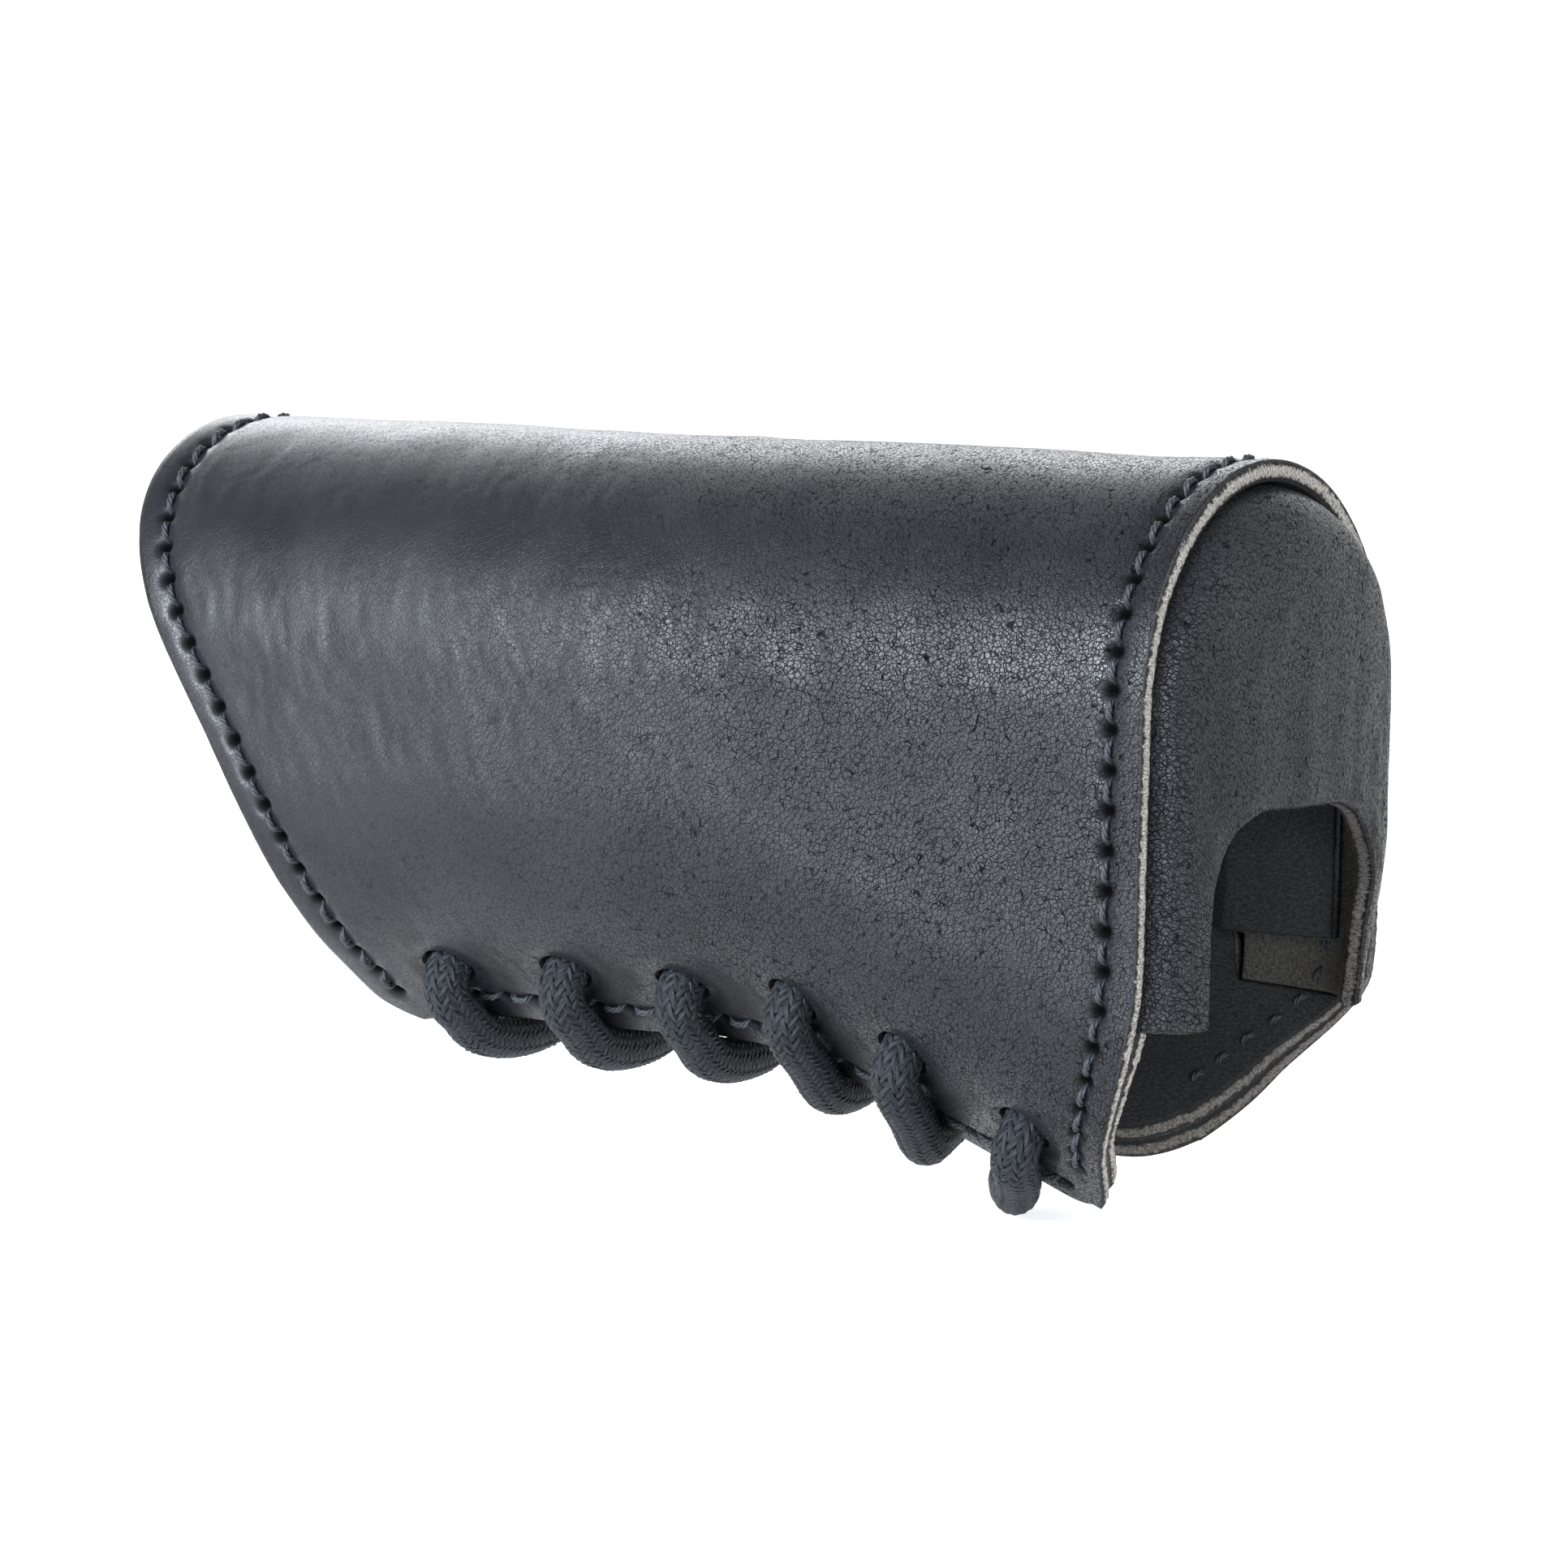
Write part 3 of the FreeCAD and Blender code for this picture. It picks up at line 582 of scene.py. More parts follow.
def floor_material():
    """Mid-grey floor that also glows a little, so that it reads as white around the object."""
    s = Shader("pale_floor")
    place = s.add("ShaderNodeTexCoord", {}, out=3)
    tint = s.mix(s.noise(place, 6.0, 3.0), (0.62, 0.62, 0.625, 1.0), (0.65, 0.65, 0.65, 1.0))
    return s.finish(base_color=tint, roughness=0.85, emission_color=tint, emission_strength=1.05)


RAW_DARK, RAW_LIGHT = (0.13, 0.12, 0.11, 1.0), (0.62, 0.58, 0.53, 1.0)
SUEDE_DARK, SUEDE_LIGHT = (0.016, 0.0165, 0.0185, 1.0), (0.075, 0.077, 0.082, 1.0)
GREY_DARK, GREY_LIGHT = (0.03, 0.029, 0.0265, 1.0), (0.17, 0.162, 0.147, 1.0)

outer_leather = leather("grained_leather", (0.0062, 0.0068, 0.0088, 1.0), (0.0104, 0.0113, 0.0139, 1.0), 0.50,
                        0.000022, SUEDE_DARK, SUEDE_LIGHT, RAW_DARK, RAW_LIGHT)
cap_leather = leather("cap_leather", (0.0105, 0.0115, 0.0142, 1.0), (0.018, 0.0195, 0.0232, 1.0), 0.6,
                      0.00009, GREY_DARK, GREY_LIGHT, (0.04, 0.037, 0.034, 1.0), (0.20, 0.188, 0.172, 1.0))
lining_leather = leather("liner_suede", (0.011, 0.0114, 0.0124, 1.0), (0.019, 0.0198, 0.0217, 1.0), 0.7,
                         0.00003, SUEDE_DARK, SUEDE_LIGHT, (0.09, 0.1, 0.115, 1.0), (0.26, 0.285, 0.32, 1.0))
facing_leather = leather("facing_leather", (0.018, 0.0189, 0.0216, 1.0), (0.028, 0.029, 0.0325, 1.0), 0.7,
                         0.00003, SUEDE_DARK, SUEDE_LIGHT, RAW_DARK, RAW_LIGHT)
braid = cord_material()
thread = thread_material()


# ---- leather sheets

EDGE_STEPS = 6
EDGE_BULGE = 0.28
FLESH_OFFSET = 5.0


def sheet_piece(outside, inside, place, pit, fray, seed):
    """Closed leather sheet from two matching grids, with a rounded, slightly ragged cut edge all round."""
    rows, cols, _ = outside.shape
    loop = [(0, c) for c in range(cols)] + [(r, cols - 1) for r in range(1, rows)]
    loop += [(rows - 1, c) for c in range(cols - 2, -1, -1)] + [(r, 0) for r in range(rows - 2, 0, -1)]
    ring = np.array(loop)
    top, bottom = outside[ring[:, 0], ring[:, 1]], inside[ring[:, 0], ring[:, 1]]
    within = outside[np.clip(ring[:, 0], 1, rows - 2), np.clip(ring[:, 1], 1, cols - 2)]
    away = top - within
    away /= np.maximum(np.linalg.norm(away, axis=1, keepdims=True), 1e-9)
    rng = np.random.default_rng(seed)
    bands = []
    for k in range(1, EDGE_STEPS):
        t = k / EDGE_STEPS
        ragged = rng.uniform(-1, 1, (len(ring), 1)) * fray
        bulge = EDGE_BULGE * math.sin(math.pi * t) ** 0.6 + ragged * math.sin(math.pi * t)
        bands.append(top * (1 - t) + bottom * t + away * bulge)
    count = rows * cols
    verts = np.concatenate([outside.reshape(-1, 3), inside.reshape(-1, 3)] + bands)
    faces = [grid_faces(rows, cols), grid_faces(rows, cols, count, flip=True)]
    lanes = [ring[:, 0] * cols + ring[:, 1]]
    lanes += [2 * count + k * len(ring) + np.arange(len(ring)) for k in range(EDGE_STEPS - 1)]
    lanes += [count + ring[:, 0] * cols + ring[:, 1]]
    for a, b in zip(lanes, lanes[1:]):
        faces.append(np.stack([a, b, np.roll(b, -1), np.roll(a, -1)], -1))
    ring_place = place[ring[:, 0], ring[:, 1]]
    edge_places = [ring_place + [0, 0, 2.0 * k / EDGE_STEPS] for k in range(1, EDGE_STEPS)]
    face_place = place.reshape(-1, 3)
    edge_count = len(ring) * (EDGE_STEPS - 1)
    attributes = {
        "wrap": np.concatenate([face_place, face_place + [0, 0, FLESH_OFFSET]] + edge_places),
        "edge": np.concatenate([np.zeros(2 * count), np.ones(edge_count)]),
        "flesh": np.concatenate([np.zeros(count), np.ones(count + edge_count)]),
        "pit": np.concatenate([pit.ravel(), np.zeros(count + edge_count)]),
    }
    return verts, np.concatenate(faces), attributes


def finish_piece(piece, slot, *nodes):
    """Ties a visible piece to the frame's part and hides its CAD nodes; slot is not used."""
    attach(piece, "root")
    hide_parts(*nodes)
    return piece


def dense(low, high, pitch, fine, near, window):
    """Rising numbers from low to high, closely spaced within a window of each number in near."""
    marks, x = [low], low
    while x < high:
        x += fine if min(abs(x - n) for n in near) < window else pitch
        marks.append(min(x, high))
    return np.array(marks)


def crease_field(x, s, seed):
    """Shallow wrinkles running down and across the leather, in millimetres of depth."""
    drift = 3.0 * lattice_noise(x, s, 9.0, seed)
    along = x * 0.86 + s * 0.5 + drift
    ridge = 1 - np.abs(lattice_noise(along, s * 0.22 - x * 0.1, 2.6, seed + 1))
    fine = 1 - np.abs(lattice_noise(along * 1.2, s * 0.35, 1.3, seed + 2))
    amount = clamp01(0.55 + 0.6 * lattice_noise(x, s, 17.0, seed + 3))
    return (clamp01(ridge - 0.86) / 0.14 * 0.035 + clamp01(fine - 0.9) / 0.1 * 0.03) * amount


def ripples(x, s, seed):
    """Soft puckers across the cover, strongest behind its middle where the leather bends over the crest."""
    along = x + 0.22 * s + 0.9 * lattice_noise(x, s, 6.0, seed)
    pucker = lattice_noise(along, 0.34 * s, 1.05, seed + 1)
    pucker += 0.6 * lattice_noise(along, 0.5 * s, 0.8, seed + 2)
    rear = 0.35 + 0.65 * clamp01((30.0 - x) / 40.0)
    return 0.04 * pucker * rear * clamp01(0.75 + 0.7 * lattice_noise(x, s, 14.0, seed + 3))


def relief(points, x, s, seams, holes, seed):
    """Outward displacement of the outer leather, and a mask of painted shade in its stitch holes."""
    wave = 0.20 * lattice_noise(x, s, 15.0, seed) + 0.08 * lattice_noise(x, s, 5.5, seed + 5)
    wave += ripples(x, s, seed + 10) - crease_field(x, s, seed + 20)
    lift, pit, free = np.zeros(x.shape), np.zeros(x.shape), np.ones(x.shape)
    for points_on_seam in seams:
        line = np.concatenate([points_on_seam * (1 - t) + np.roll(points_on_seam, -1, 0) * t
                               for t in np.linspace(0, 0.92, 12)])[:-11]
        away = Finder(line).distance(points)
        free *= 1 - np.exp(-(away / 2.2) ** 2)
        lift -= 0.28 * np.exp(-(away / 1.1) ** 2)
        hole = Finder(points_on_seam).distance(points)
        lift -= 0.9 * np.exp(-(hole / 0.66) ** 2)
        # Mask of painted shade in and round each stitch hole.
        pit = np.maximum(pit, np.exp(-(hole / 0.92) ** 4))
    for middle, _axis in holes:
        away = np.linalg.norm(points - middle, axis=-1)
        lift -= 0.55 * np.exp(-(away / 4.6) ** 2)
        lift += 0.25 * np.exp(-((away - 4.2) / 1.3) ** 2)
    return lift + wave * free, pit


# ---- outer leather

def shell_grid():
    """Outer leather in rows of constant share over the crest and columns from rear to rim."""
    seam_share = 1 - EDGE_INSET / float(foot_s(0.0))
    share = dense(-1.0, 1.0, 0.0044, 0.0026, (-seam_share, seam_share), 0.02)
    u = dense(0.0, 1.0, 0.0044, 0.0026, (0.033, 0.967), 0.02)
    start = meet(rear_x, share)
    end = np.where(share > 0, meet(far_rim_x, share), meet(rim_x, share))
    x = start[:, None] * (1 - u) + end[:, None] * u
    s = share[:, None] * reach_s(x, share[:, None])
    point, normal = on_wrap(x, s)
    return x, s, point, normal


def make_shell():
    """Outer leather with its relief, stitch holes and lace holes."""
    x, s, point, normal = shell_grid()
    seams = [SEAMS[key][0] for key in ("front", "rear", "near_edge", "far_edge")]
    lift, pit = relief(point, x, s, seams, LACE_HOLES, SEED)
    outside = point + normal * lift[..., None]
    inside = on_wrap(x, s, LEATHER)[0] + normal * (0.5 * lift[..., None])
    place = np.stack([x, s, np.zeros_like(x)], -1)
    sheet = sheet_piece(outside, inside, place, pit, 0.10, SEED + 1)
    return new_object("outer_leather", outer_leather, *punch(*sheet, LACE_HOLES, x.size))


HOLE_RINGS, HOLE_SIDES = 5, 64
HOLE_REACH = 6.0
HOLE_RIM_EDGE = 0.15


def open_edges(faces):
    """Directed edges that border a patch of faces."""
    used = dict.fromkeys((a, b) for face in faces.tolist() for a, b in zip(face, face[1:] + face[:1]))
    return [(a, b) for a, b in used if (b, a) not in used]


def hole_wall(upper, lower):
    """Rings between the two borders of a hole, slightly drawn in halfway."""
    rings = []
    for t in np.arange(HOLE_RINGS) / (HOLE_RINGS - 1):
        ring = upper * (1 - t) + lower * t
        centre = ring.mean(axis=0)
        rings.append(centre + (ring - centre) * (1 - 0.06 * math.sin(math.pi * t)))
    return np.concatenate(rings)


def punch(verts, faces, attributes, holes, face_size):
    """Removes faces inside the lace holes, pulls the rims onto the circles and closes the walls."""
    verts = verts.copy()
    borders = []
    for middle, axis in holes:
        offset = verts - middle
        along = offset @ axis
        radial = offset - along[:, None] * axis
        away = np.linalg.norm(radial, axis=1)
        inside = (away < LACE_RADIUS) & (np.abs(along) < HOLE_REACH)
        hit = inside[faces].any(axis=1)
        border = open_edges(faces[hit])
        faces = faces[~hit]
        rim = sorted({v for edge in border for v in edge})
        for v in rim:
            verts[v] = middle + axis * along[v] + radial[v] / away[v] * LACE_RADIUS
        attributes["edge"][rim] = HOLE_RIM_EDGE
        top = [e for e in border if e[0] < face_size]
        low = [e for e in border if e[0] >= face_size]
        borders.append((walk(top), walk(low), middle, axis))
    walls = np.concatenate([
        hole_wall(ring_samples(verts, top, middle, axis), ring_samples(verts, low, middle, axis))
        for top, low, middle, axis in borders])
    wall_starts = len(verts) + np.arange(len(borders)) * HOLE_RINGS * HOLE_SIDES
    wall_faces = [grid_faces(HOLE_RINGS, HOLE_SIDES, start, closed=True) for start in wall_starts]
    blank = np.zeros(len(walls))
    for key, values in (("edge", blank), ("wrap", walls), ("flesh", blank + 1.0), ("pit", blank)):
        attributes[key] = np.concatenate([attributes[key], values])
    return np.concatenate([verts, walls]), np.concatenate([faces] + wall_faces), attributes


def walk(edges):
    """Vertices of a closed border, in order."""
    ahead = dict(edges)
    start = edges[0][0]
    ring, here = [start], ahead[start]
    while here != start:
        ring.append(here)
        here = ahead[here]
    return ring


def ring_samples(verts, ring, middle, axis):
    """Evenly spaced points on a hole's border, all starting from the same direction."""
    points = verts[ring]
    side = np.cross(axis, [1.0, 0.0, 0.0])
    side /= np.linalg.norm(side)
    other = np.cross(axis, side)
    offset = points - middle
    angle = np.arctan2(offset @ other, offset @ side)
    order = np.argsort(angle)
    angle, height = angle[order], (offset @ axis)[order]
    radius = np.linalg.norm(offset - (offset @ axis)[:, None] * axis, axis=1)[order]
    grid = np.linspace(-math.pi, math.pi, HOLE_SIDES, endpoint=False)
    wrapped = np.concatenate([angle - 2 * math.pi, angle, angle + 2 * math.pi])
    height, radius = np.tile(height, 3), np.tile(radius, 3)
    h, r = np.interp(grid, wrapped, height), np.interp(grid, wrapped, radius)
    ring_out = side * np.cos(grid)[:, None] + other * np.sin(grid)[:, None]
    return middle + axis * h[:, None] + ring_out * r[:, None]


# ---- end cap

def notch_outline(share):
    """Point (y, z) on the notch's edge; share runs from -1 at the near leg's end to 1 at the far leg's."""
    straight = NOTCH_TOP - NOTCH_ROUND - LEG_END
    turn = NOTCH_ROUND * math.pi / 2
    flat = NOTCH_HALF - NOTCH_ROUND
    rest = np.abs(share)
    low = clamp01((1 - rest) / LEG_SPLIT)
    run = np.where(rest < 1 - LEG_SPLIT, (1 - LEG_SPLIT - rest) / (1 - LEG_SPLIT) * (turn + flat), 0.0)
    angle = np.minimum(run / NOTCH_ROUND, math.pi / 2)
    over = np.maximum(run - turn, 0.0)
    y = NOTCH_HALF - NOTCH_ROUND * (1 - np.cos(angle)) - over
    z = LEG_END + straight * low + NOTCH_ROUND * np.sin(angle)
    return np.sign(share) * y, z


def face_x(y):
    """The cap's domed face, fullest to the far side of the middle."""
    return RIM + CAP_BULGE - CAP_DOME + np.sqrt(CAP_DOME ** 2 - (y - CAP_SKEW) ** 2)



SOFTENED, SOFT_PASSES = (24, 60), 14  # columns round the cap's shoulder that are smoothed


def leg_s(x):
    """Distance from the crest down to the ends of the cap's legs."""
    return height_s(x, LEG_END)


def make_cap():
    """Moulded cap: flange under the leather, rounded shoulder, and a face with its notch."""
    share = dense(-1.0, 1.0, 0.0065, 0.004, (-1.0, 1.0), 0.1)[:, None]
    flange = np.linspace(0.0, 1.0, 26)[None, :]
    turn = np.linspace(0.0, math.pi / 2, 13)[None, 1:]
    face = np.linspace(0.0, 1.0, 46)[None, 1:]
    s_front = share * leg_s(RIM)
    at_front = on_wrap(RIM, s_front, SECOND + 1.5)[0]
    tuck = TUCK * (1 - smooth((at_front[..., 2] - LEG_END) / TUCK_RUN)) * (share > 0)
    front = face_x(at_front[..., 1]) - tuck
    shoulder = CAP_SHOULDER + CAP_CROWN * (1 - smooth(np.abs(share) / 0.45))
    x_flange = (RIM - FLANGE) * (1 - flange) + (front - shoulder) * flange
    side = on_wrap(x_flange, share * leg_s(x_flange), SECOND)[0]
    x_turn = front - shoulder * (1 - np.sin(turn))
    s_turn = np.broadcast_to(s_front, x_turn.shape)
    corner = on_wrap(x_turn, s_turn, SECOND + shoulder * (1 - np.cos(turn)))[0]
    ny, nz = notch_outline(share)
    start = corner[:, -1:, :]
    y = start[..., 1] * (1 - face) + ny * face
    z = start[..., 2] * (1 - face) + nz * face
    flat = np.stack([face_x(y) + 0 * y, y, z], -1)
    flat[..., 0] += (start[..., 0] - face_x(start[..., 1])) * (1 - face) ** 2
    flat[..., 0] -= 0.6 * tuck * (1 - (1 - face) ** 2)
    outside = np.concatenate([side, corner, flat], axis=1)
    normal = grid_normals(outside)
    normal *= np.sign(normal[len(share) // 2, 5, 2])
    first, last = SOFTENED
    for _ in range(SOFT_PASSES):
        soft = 0.25 * outside[:, :-2] + 0.5 * outside[:, 1:-1] + 0.25 * outside[:, 2:]
        outside[:, first:last] = soft[:, first - 1:last - 1]
    normal = grid_normals(outside) * np.sign((grid_normals(outside) * normal).sum(-1, keepdims=True))
    rows, cols = outside.shape[:2]
    along = share * 75.0 + np.zeros((rows, cols))
    steps = np.linalg.norm(np.diff(outside, axis=1), axis=-1)
    across = np.concatenate([np.zeros((rows, 1)), np.cumsum(steps, axis=1)], axis=1)
    wave = 0.22 * lattice_noise(along, across, 13.0, SEED + 40)
    wave += 0.08 * lattice_noise(along, across, 5.0, SEED + 41)
    wave += 0.5 * ripples(across, along, SEED + 44) - 1.6 * crease_field(across * 1.2, along, SEED + 43)
    lip = np.minimum(across[:, -1:] - across, 6.0)
    wave += 0.18 * np.exp(-((lip - 2.4) / 1.4) ** 2)
    onto_face = clamp01((across - FLANGE) / 4.0)
    outside = outside + normal * (wave * onto_face)[..., None]
    inside = outside - normal * FACING
    place = np.stack([along + 300.0, across, np.zeros_like(along)], -1)
    sheet = sheet_piece(outside, inside, place, np.zeros((rows, cols)), 0.12, SEED + 42)
    return new_object("cap_leather_piece", cap_leather, *sheet)


# ---- lining and facings

def strip(x_rows, s_rows, depth, thick, seed):
    """Thin leather sheet between two depths of the wrap."""
    outside, normal = on_wrap(x_rows, s_rows, depth)
    wave = 0.12 * lattice_noise(x_rows, s_rows, 9.0, seed)
    wave += 0.05 * lattice_noise(x_rows, s_rows, 3.0, seed + 1)
    inside = outside - normal * (thick + wave)[..., None]
    place = np.stack([x_rows + 10.0 * seed % 997, s_rows, np.zeros(x_rows.shape)], -1)
    return sheet_piece(outside, inside, place, np.zeros(x_rows.shape), 0.16, seed)


def liner_depth(x):
    """Depth of the liner, which steps inward to pass inside the cap's flange."""
    step = RIM - FLANGE - 1.0
    return SECOND + (CAP_INNER + LINER_STEP - SECOND) * clamp01((x - step + LINER_RAMP) / LINER_RAMP)


def make_liner():
    """Suede liner of the arch, from the rear edge to just behind the rim."""
    share = np.linspace(-1.0, 1.0, 321)
    foot = height_s(0.0, LINER_FOOT)
    u = dense(0.0, 1.0, 0.0055, 0.0035, (0.0, 1.0), 0.03)
    z = on_wrap(0.0, share * foot)[0][:, 2]
    start, end = rear_x(z), np.full(z.shape, RIM - LINER_FRONT)
    x = start[:, None] * (1 - u) + end[:, None] * u
    s = share[:, None] * height_s(x, LINER_FOOT)
    return new_object("crown_lining", lining_leather, *strip(x, s, liner_depth(x), LINING, SEED + 50))


def make_facing(side, name):
    """Strip inside one laced edge, with its lace holes."""
    top_share = np.linspace(0.0, 1.0, 61)
    u = dense(0.0, 1.0, 0.0052, 0.003, (0.0, 0.94, 1.0), 0.05)
    start = np.full(top_share.shape, REAR_FOOT)
    end = np.full(top_share.shape, RIM - 8.0)
    for _ in range(30):
        x = start[:, None] * (1 - u) + end[:, None] * u
        top = FACING_TOP - (FACING_TOP - FACING_FRONT) * smooth((x - (RIM - FLANGE - 1.5)) / 1.0)
        high, low = height_s(x, top), reach_s(x, side)
        s = high * (1 - top_share[:, None]) + low * top_share[:, None]
        z = on_wrap(x, s)[0][..., 2]
        start = 0.5 * start + 0.5 * rear_x(z[:, 0])
        end = 0.5 * end + 0.5 * (rim_x if side < 0 else far_rim_x)(z[:, -1])
    verts, faces, attributes = strip(x, side * s, SECOND, FACING, SEED + 60 + side)
    if side > 0:
        faces = faces[:, ::-1]
    near = [h for h in LACE_HOLES if h[0][1] * side > 0]
    shifted = [(middle - axis * SECOND, axis) for middle, axis in near]
    return new_object(name, facing_leather, *punch(verts, faces, attributes, shifted, x.size))


# ---- cord and threads

def swept(path, radius_wide, radius_thick, out, sides=8, twist_place=0.0):
    """Tube with an oval section; out is the direction of its thin side at each point."""
    tangent = unit(np.gradient(path, axis=0))
    wide = unit(np.cross(tangent, out))
    thin = np.cross(wide, tangent)
    angle = np.linspace(0, 2 * math.pi, sides, endpoint=False)
    ring = (path[:, None, :] + wide[:, None, :] * (radius_wide * np.cos(angle))[None, :, None]
            + thin[:, None, :] * (radius_thick * np.sin(angle))[None, :, None])
    walked = walked_along(path)
    place = np.stack(np.broadcast_arrays(walked[:, None], np.cos(angle)[None, :] * radius_wide + twist_place,
                                         np.sin(angle)[None, :] * radius_thick), -1)
    turn = np.broadcast_to(angle[None, :] / math.pi * 2.0, ring.shape[:2]) + walked[:, None] * 0.55
    return ring.reshape(-1, 3), grid_faces(len(path), sides, closed=True), place.reshape(-1, 3), turn.ravel()


class Bundle:
    """Gathers many tubes into one mesh."""

    def __init__(self):
        self.verts, self.faces, self.places, self.turns, self.count = [], [], [], [], 0

    def add(self, verts, faces, place, turn):
        self.verts.append(verts)
        self.faces.append(faces + self.count)
        self.places.append(place)
        self.turns.append(turn)
        self.count += len(verts)

    def cap(self, ring_start, sides, centre):
        """Closes an end with a small fan."""
        self.verts.append(np.array([centre]))
        self.places.append(np.zeros((1, 3)))
        self.turns.append(np.zeros(1))
        ring, tip = ring_start + np.arange(sides), np.full(sides, self.count)
        self.faces.append(np.stack([ring, np.roll(ring, -1), tip, tip], -1))
        self.count += 1

    def build(self, name, material):
        quads = np.concatenate(self.faces)
        faces = [tuple(dict.fromkeys(f)) for f in quads.tolist()]
        attributes = {"wrap": np.concatenate(self.places), "ply": np.concatenate(self.turns)}
        verts = np.concatenate(self.verts)
        return new_object(name, material, verts, np.array(faces, dtype=object), attributes)


BRAID_HALF = 16
BRAID_LAY = 13.0
BRAID_RADIUS = 1.97
BRAID_WAVE = 0.11
STRAND_WIDE, STRAND_THICK, CORE_RADIUS = 0.31, 0.16, 1.86
TIP_RINGS, TIP_SIDES, TIP_RADIUS, TIP_LENGTH = 6, 24, 2.1, 1.1


def make_cord():
    """Thirty-two-strand braid, over two and under two, along the whole lacing."""
    path = LACE_PATH
    _tangent, normal, other = frames_along(path)
    walked = walked_along(path)
    spin = 2 * math.pi / BRAID_LAY
    crossed = BRAID_HALF * 2 * spin * walked / (2 * math.pi)
    bundle = Bundle()
    rng = np.random.default_rng(SEED + 70)
    for way in (1, -1):
        for k in range(BRAID_HALF):
            turn = way * spin * walked + 2 * math.pi * k / BRAID_HALF
            height = BRAID_RADIUS + way * BRAID_WAVE * np.sin((2 * k + way * crossed) * math.pi / 2 + 0.8)
            height += 0.03 * lattice_noise(walked, walked * 0 + 7.0 * k, 2.3, SEED + 71 + way)
            out = normal * np.cos(turn)[:, None] + other * np.sin(turn)[:, None]
            strand = path + out * height[:, None]
            wide = STRAND_WIDE + rng.uniform(-0.03, 0.03)
            bundle.add(*swept(strand, wide, STRAND_THICK, out, 8, 3.0 * k + 40.0 * (way > 0)))
    bundle.add(*swept(path, CORE_RADIUS, CORE_RADIUS, normal, 14, 90.0))
    for end, inner in ((0, 1), (-1, -2)):
        centre, ahead = path[end], path[end] - path[inner]
        ahead /= np.linalg.norm(ahead)
        first = bundle.count
        rings = []
        for a in np.linspace(0, math.pi / 2, TIP_RINGS):
            for t in np.linspace(0, 2 * math.pi, TIP_SIDES, endpoint=False):
                spoke = normal[end] * math.cos(t) + other[end] * math.sin(t)
                reach = spoke * (TIP_RADIUS * math.cos(a) + 0.02)
                rings.append(centre + ahead * (TIP_LENGTH * math.sin(a)) + reach)
        rings = np.array(rings)
        bundle.add(rings, grid_faces(TIP_RINGS, TIP_SIDES, closed=True), rings, np.zeros(len(rings)))
        bundle.cap(first + (TIP_RINGS - 1) * TIP_SIDES, TIP_SIDES, centre + ahead * (TIP_LENGTH + 0.02))
    return bundle.build("lacing_cord", braid)


def seam_depth(point, outer):
    """Depth of the face a stitch lies on."""
    if outer:
        return 0.0
    if point[0] > RIM - FLANGE - 1 or point[2] < FACING_TOP + 0.2:
        return CAP_INNER
    return SECOND + LINING


PLIES, PLY_RADIUS, PLY_OFFSET, PLY_LAY = 3, 0.175, 0.155, 2.1
STITCH_INSET, STITCH_DIVE = 0.55, 1.35
OUTER_RISE, INNER_RISE = 0.06, 0.24


def make_seam(key, outer):
    """Every stitch of a seam on one face of the leather, as three plies twisted together."""
    points, normals = SEAMS[key]
    bundle = Bundle()
    rng = np.random.default_rng(SEED + 80 + len(key) + outer)
    sign = 1.0 if outer else -1.0
    rise = OUTER_RISE if outer else INNER_RISE
    for p, n, q, m in zip(points, normals, points[1:], normals[1:]):
        a, b = p - n * seam_depth(p, outer), q - m * seam_depth(q, outer)
        t = np.linspace(0.0, 1.0, 30)
        span = np.linalg.norm(b - a)
        inset = STITCH_INSET / span
        w = inset + (1 - 2 * inset) * t
        near = np.minimum(t, 1 - t) * span
        height = rise - STITCH_DIVE * np.exp(-(near / STITCH_INSET) ** 1.8) + rng.uniform(-0.03, 0.03)
        sway = rng.uniform(-0.06, 0.06) * np.sin(math.pi * t)
        mid_normal = unit(n[None, :] * (1 - w[:, None]) + m[None, :] * w[:, None])
        straight = a * (1 - w[:, None]) + b * w[:, None]
        bow = np.linalg.norm(m - n) * span / 8 * 4 * w * (1 - w)
        side = np.cross(mid_normal, (b - a) / span)
        middle = straight + mid_normal * (sign * height + bow)[:, None] + side * sway[:, None]
        tangent = unit(np.gradient(middle, axis=0))
        up = np.cross(side, tangent)
        phase = rng.uniform(0, 2 * math.pi)
        for ply in range(PLIES):
            turn = phase + 2 * math.pi * (ply / PLIES + w * span / PLY_LAY)
            out = side * np.cos(turn)[:, None] + up * np.sin(turn)[:, None]
            bundle.add(*swept(middle + out * PLY_OFFSET, PLY_RADIUS, PLY_RADIUS, out, 6, 2.0 * ply))
    return bundle.build(f"{key}_{'outer' if outer else 'inner'}_stitches", thread)


# ---- assembly

finish_piece(make_shell(), "grained_leather", "outer_shell")
finish_piece(make_cap(), "cap_leather", "end_cap")
finish_piece(make_liner(), "liner_suede", "crown_liner")
finish_piece(make_facing(-1, "near_facing_strip"), "facing_leather", "near_facing")
finish_piece(make_facing(1, "far_facing_strip"), "facing_leather", "far_facing")
finish_piece(make_cord(), "waxed_cord", "lace_cord")
for seam_name in SEAMS:
    finish_piece(make_seam(seam_name, True), "sewing_thread", f"{seam_name}_needle_thread")
    finish_piece(make_seam(seam_name, False), "sewing_thread", f"{seam_name}_bobbin_thread")


# ---- floor, light and camera

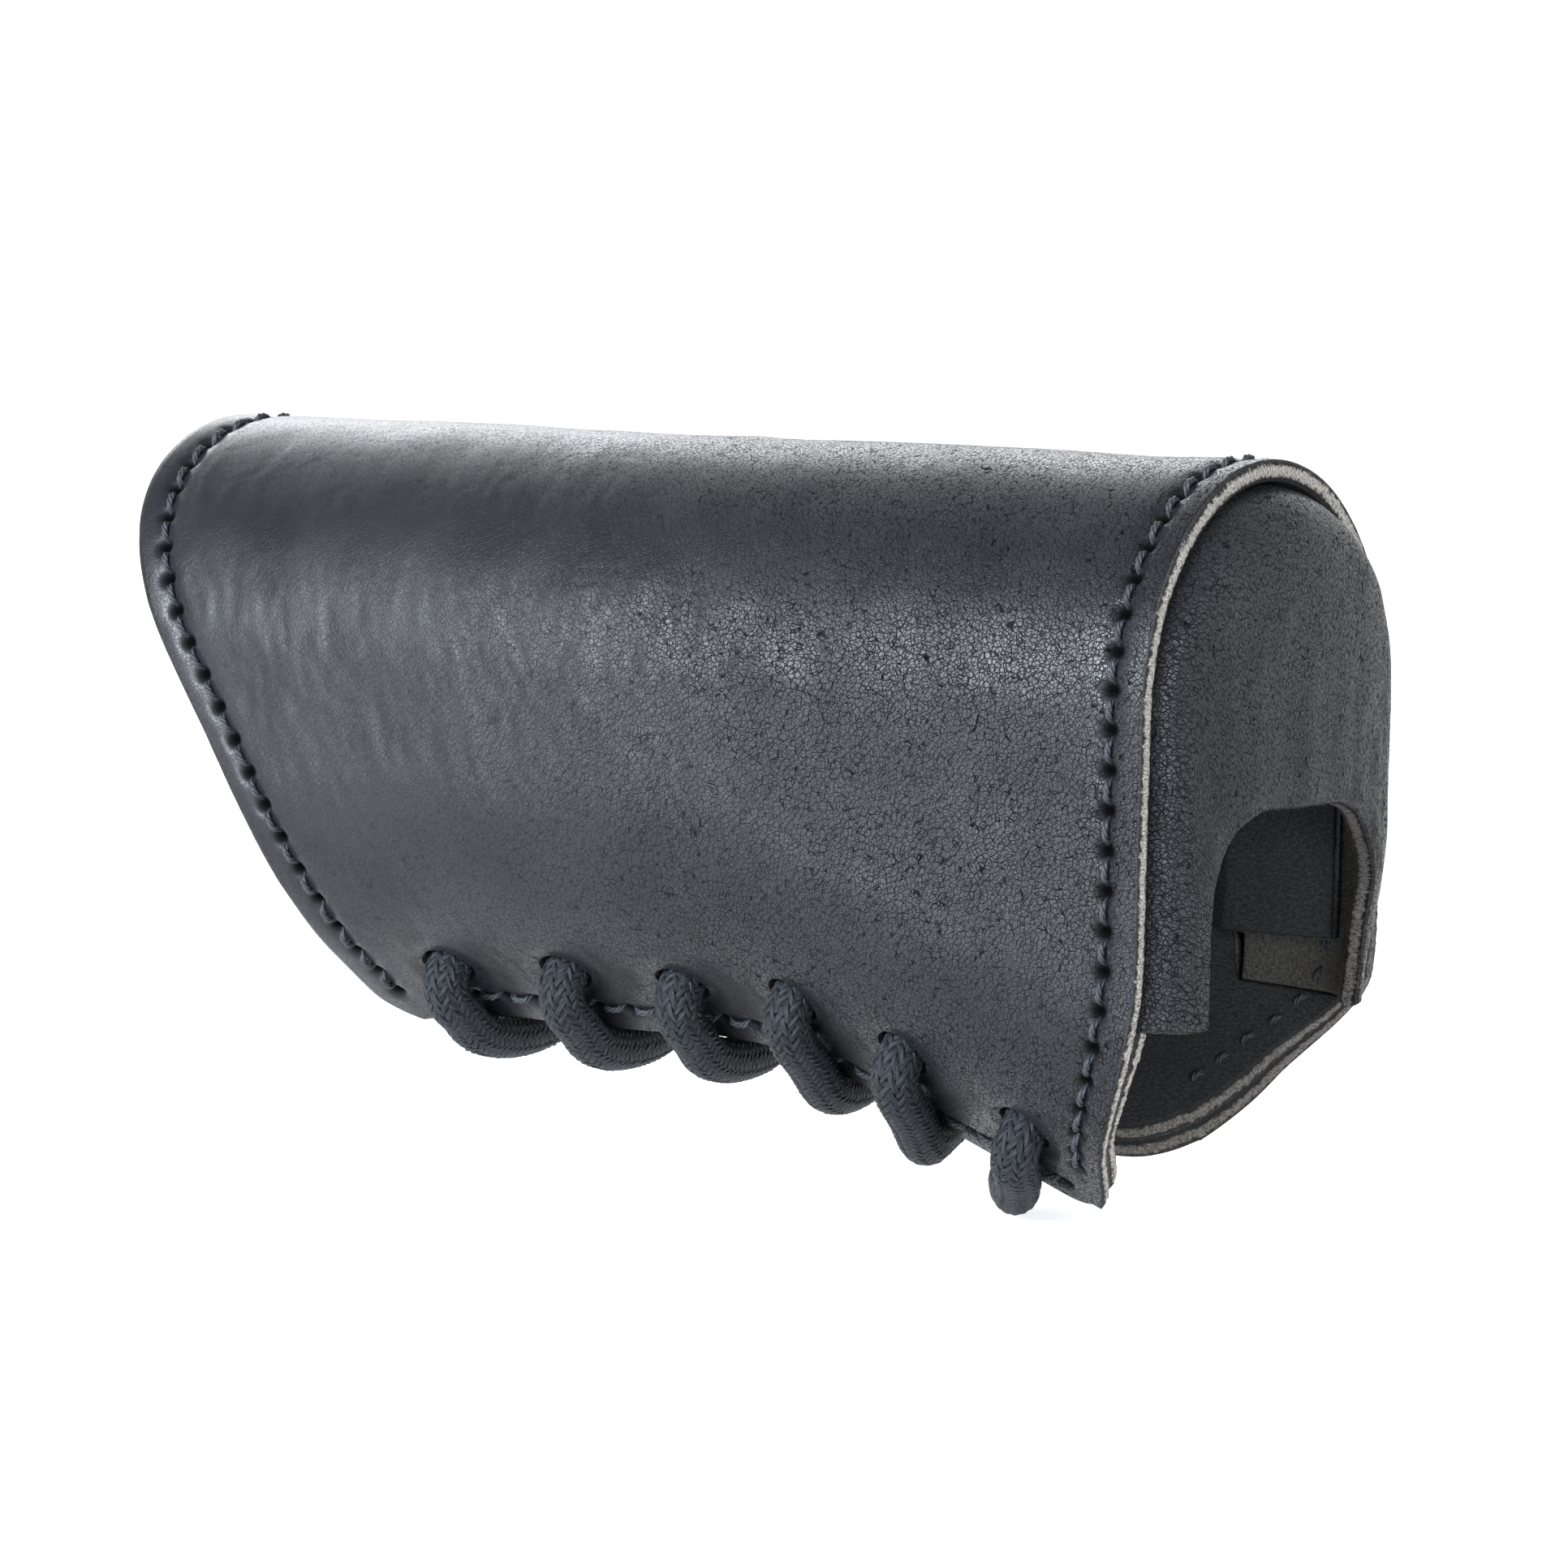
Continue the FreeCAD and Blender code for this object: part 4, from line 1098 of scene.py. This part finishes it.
AZIMUTH, ELEVATION, ROLL = math.radians(33.009), math.radians(4.5645), math.radians(1.4905)
DISTANCE = 618.9
LENS = 149.42
TARGET = Vector((12.0, 0.0, 39.3))
AIM_RIGHT, AIM_UP = math.tan(math.radians(0.58251)), math.tan(math.radians(-0.05382))


def place_camera():
    """Long lens at the front left, a little above the floor, aimed slightly beside its target."""
    back = Vector((math.sin(AZIMUTH) * math.cos(ELEVATION), -math.cos(AZIMUTH) * math.cos(ELEVATION),
                   math.sin(ELEVATION)))
    level = Vector((math.cos(AZIMUTH), math.sin(AZIMUTH), 0.0))
    rise = back.cross(level)
    right = level * math.cos(ROLL) + rise * math.sin(ROLL)
    up = rise * math.cos(ROLL) - level * math.sin(ROLL)
    forward = (-back - right * AIM_RIGHT + up * AIM_UP).normalized()
    right = forward.cross(up).normalized()
    up = right.cross(forward)
    data = bpy.data.cameras.new("photo_camera")
    data.lens = LENS
    data.sensor_width = 36.0
    data.clip_start, data.clip_end = 0.01, 20.0
    camera = bpy.data.objects.new("photo_camera", data)
    turn = Matrix((right, up, -forward)).transposed().to_4x4()
    camera.matrix_world = Matrix.Translation((TARGET + back * DISTANCE) * MM) @ turn
    bpy.context.scene.collection.objects.link(camera)
    bpy.context.scene.camera = camera


# name, centre, point aimed at, width, height, power and colour
LIGHTS = (
    ("soft_box", (-0.20, -0.99, 0.39), (0.0, 0.0, 0.04), 0.75, 0.62, 35.0, (0.86, 0.93, 1.0)),
    ("side_box", (0.95, -0.62, 0.24), (0.05, 0.0, 0.04), 0.5, 0.42, 6.5, (0.9, 0.95, 1.0)),
    ("back_light", (-0.95, 1.2, 0.85), (0.0, 0.0, 0.06), 1.7, 0.7, 17.0, (0.93, 0.97, 1.0)),
)


def area_light(name, centre, aim, width, height, power, colour):
    """Rectangular light, placed and aimed in metres."""
    data = bpy.data.lights.new(name, "AREA")
    data.shape, data.size, data.size_y, data.energy = "RECTANGLE", width, height, power
    data.color = colour
    light = bpy.data.objects.new(name, data)
    centre, aim = Vector(centre), Vector(aim)
    turn = (aim - centre).to_track_quat("-Z", "Y").to_matrix().to_4x4()
    light.matrix_world = Matrix.Translation(centre) @ turn
    bpy.context.scene.collection.objects.link(light)


def shade_ramp(nodes, links, source, stops, centre=0.0):
    """Grey value that follows a direction component through a few stops."""
    shifted = nodes.new("ShaderNodeMath")
    shifted.operation = "ADD"
    shifted.inputs[1].default_value = centre
    links.new(source, shifted.inputs[0])
    ramp = nodes.new("ShaderNodeValToRGB")
    bands = ramp.color_ramp.elements
    for _ in stops[2:]:
        bands.new(0.5)
    for band, (position, value) in zip(bands, stops):
        band.position = position
        band.color = (value, value, value, 1.0)
    links.new(shifted.outputs[0], ramp.inputs[0])
    return ramp.outputs[0]


def studio():
    """Self-lit grey floor, a surround that is darker overhead and in front, and three area lights."""
    bpy.ops.mesh.primitive_plane_add(size=6.0, location=(0.0, 0.0, 0.0))
    floor = bpy.context.object
    floor.name = "studio_floor"
    floor.data.materials.append(floor_material())
    world = bpy.data.worlds.new("studio")
    world.use_nodes = True
    nodes, links = world.node_tree.nodes, world.node_tree.links
    nodes.clear()
    place = nodes.new("ShaderNodeTexCoord")
    split = nodes.new("ShaderNodeSeparateXYZ")
    out = nodes.new("ShaderNodeOutputWorld")
    back = nodes.new("ShaderNodeBackground")
    links.new(place.outputs["Generated"], split.inputs[0])
    high = shade_ramp(nodes, links, split.outputs["Z"], ((0.0, 1.0), (0.5, 0.85), (0.95, 0.3)))
    behind = shade_ramp(nodes, links, split.outputs["Y"], ((0.1, 0.25), (0.55, 1.5)), 0.5)
    both = nodes.new("ShaderNodeMath")
    both.operation = "MULTIPLY"
    links.new(high, both.inputs[0])
    links.new(behind, both.inputs[1])
    back.inputs["Color"].default_value = (0.97, 0.985, 1.0, 1.0)
    links.new(both.outputs[0], back.inputs["Strength"])
    links.new(back.outputs[0], out.inputs["Surface"])
    bpy.context.scene.world = world
    bpy.context.scene.view_settings.view_transform = "Standard"
    for light in LIGHTS:
        area_light(*light)


studio()
place_camera()
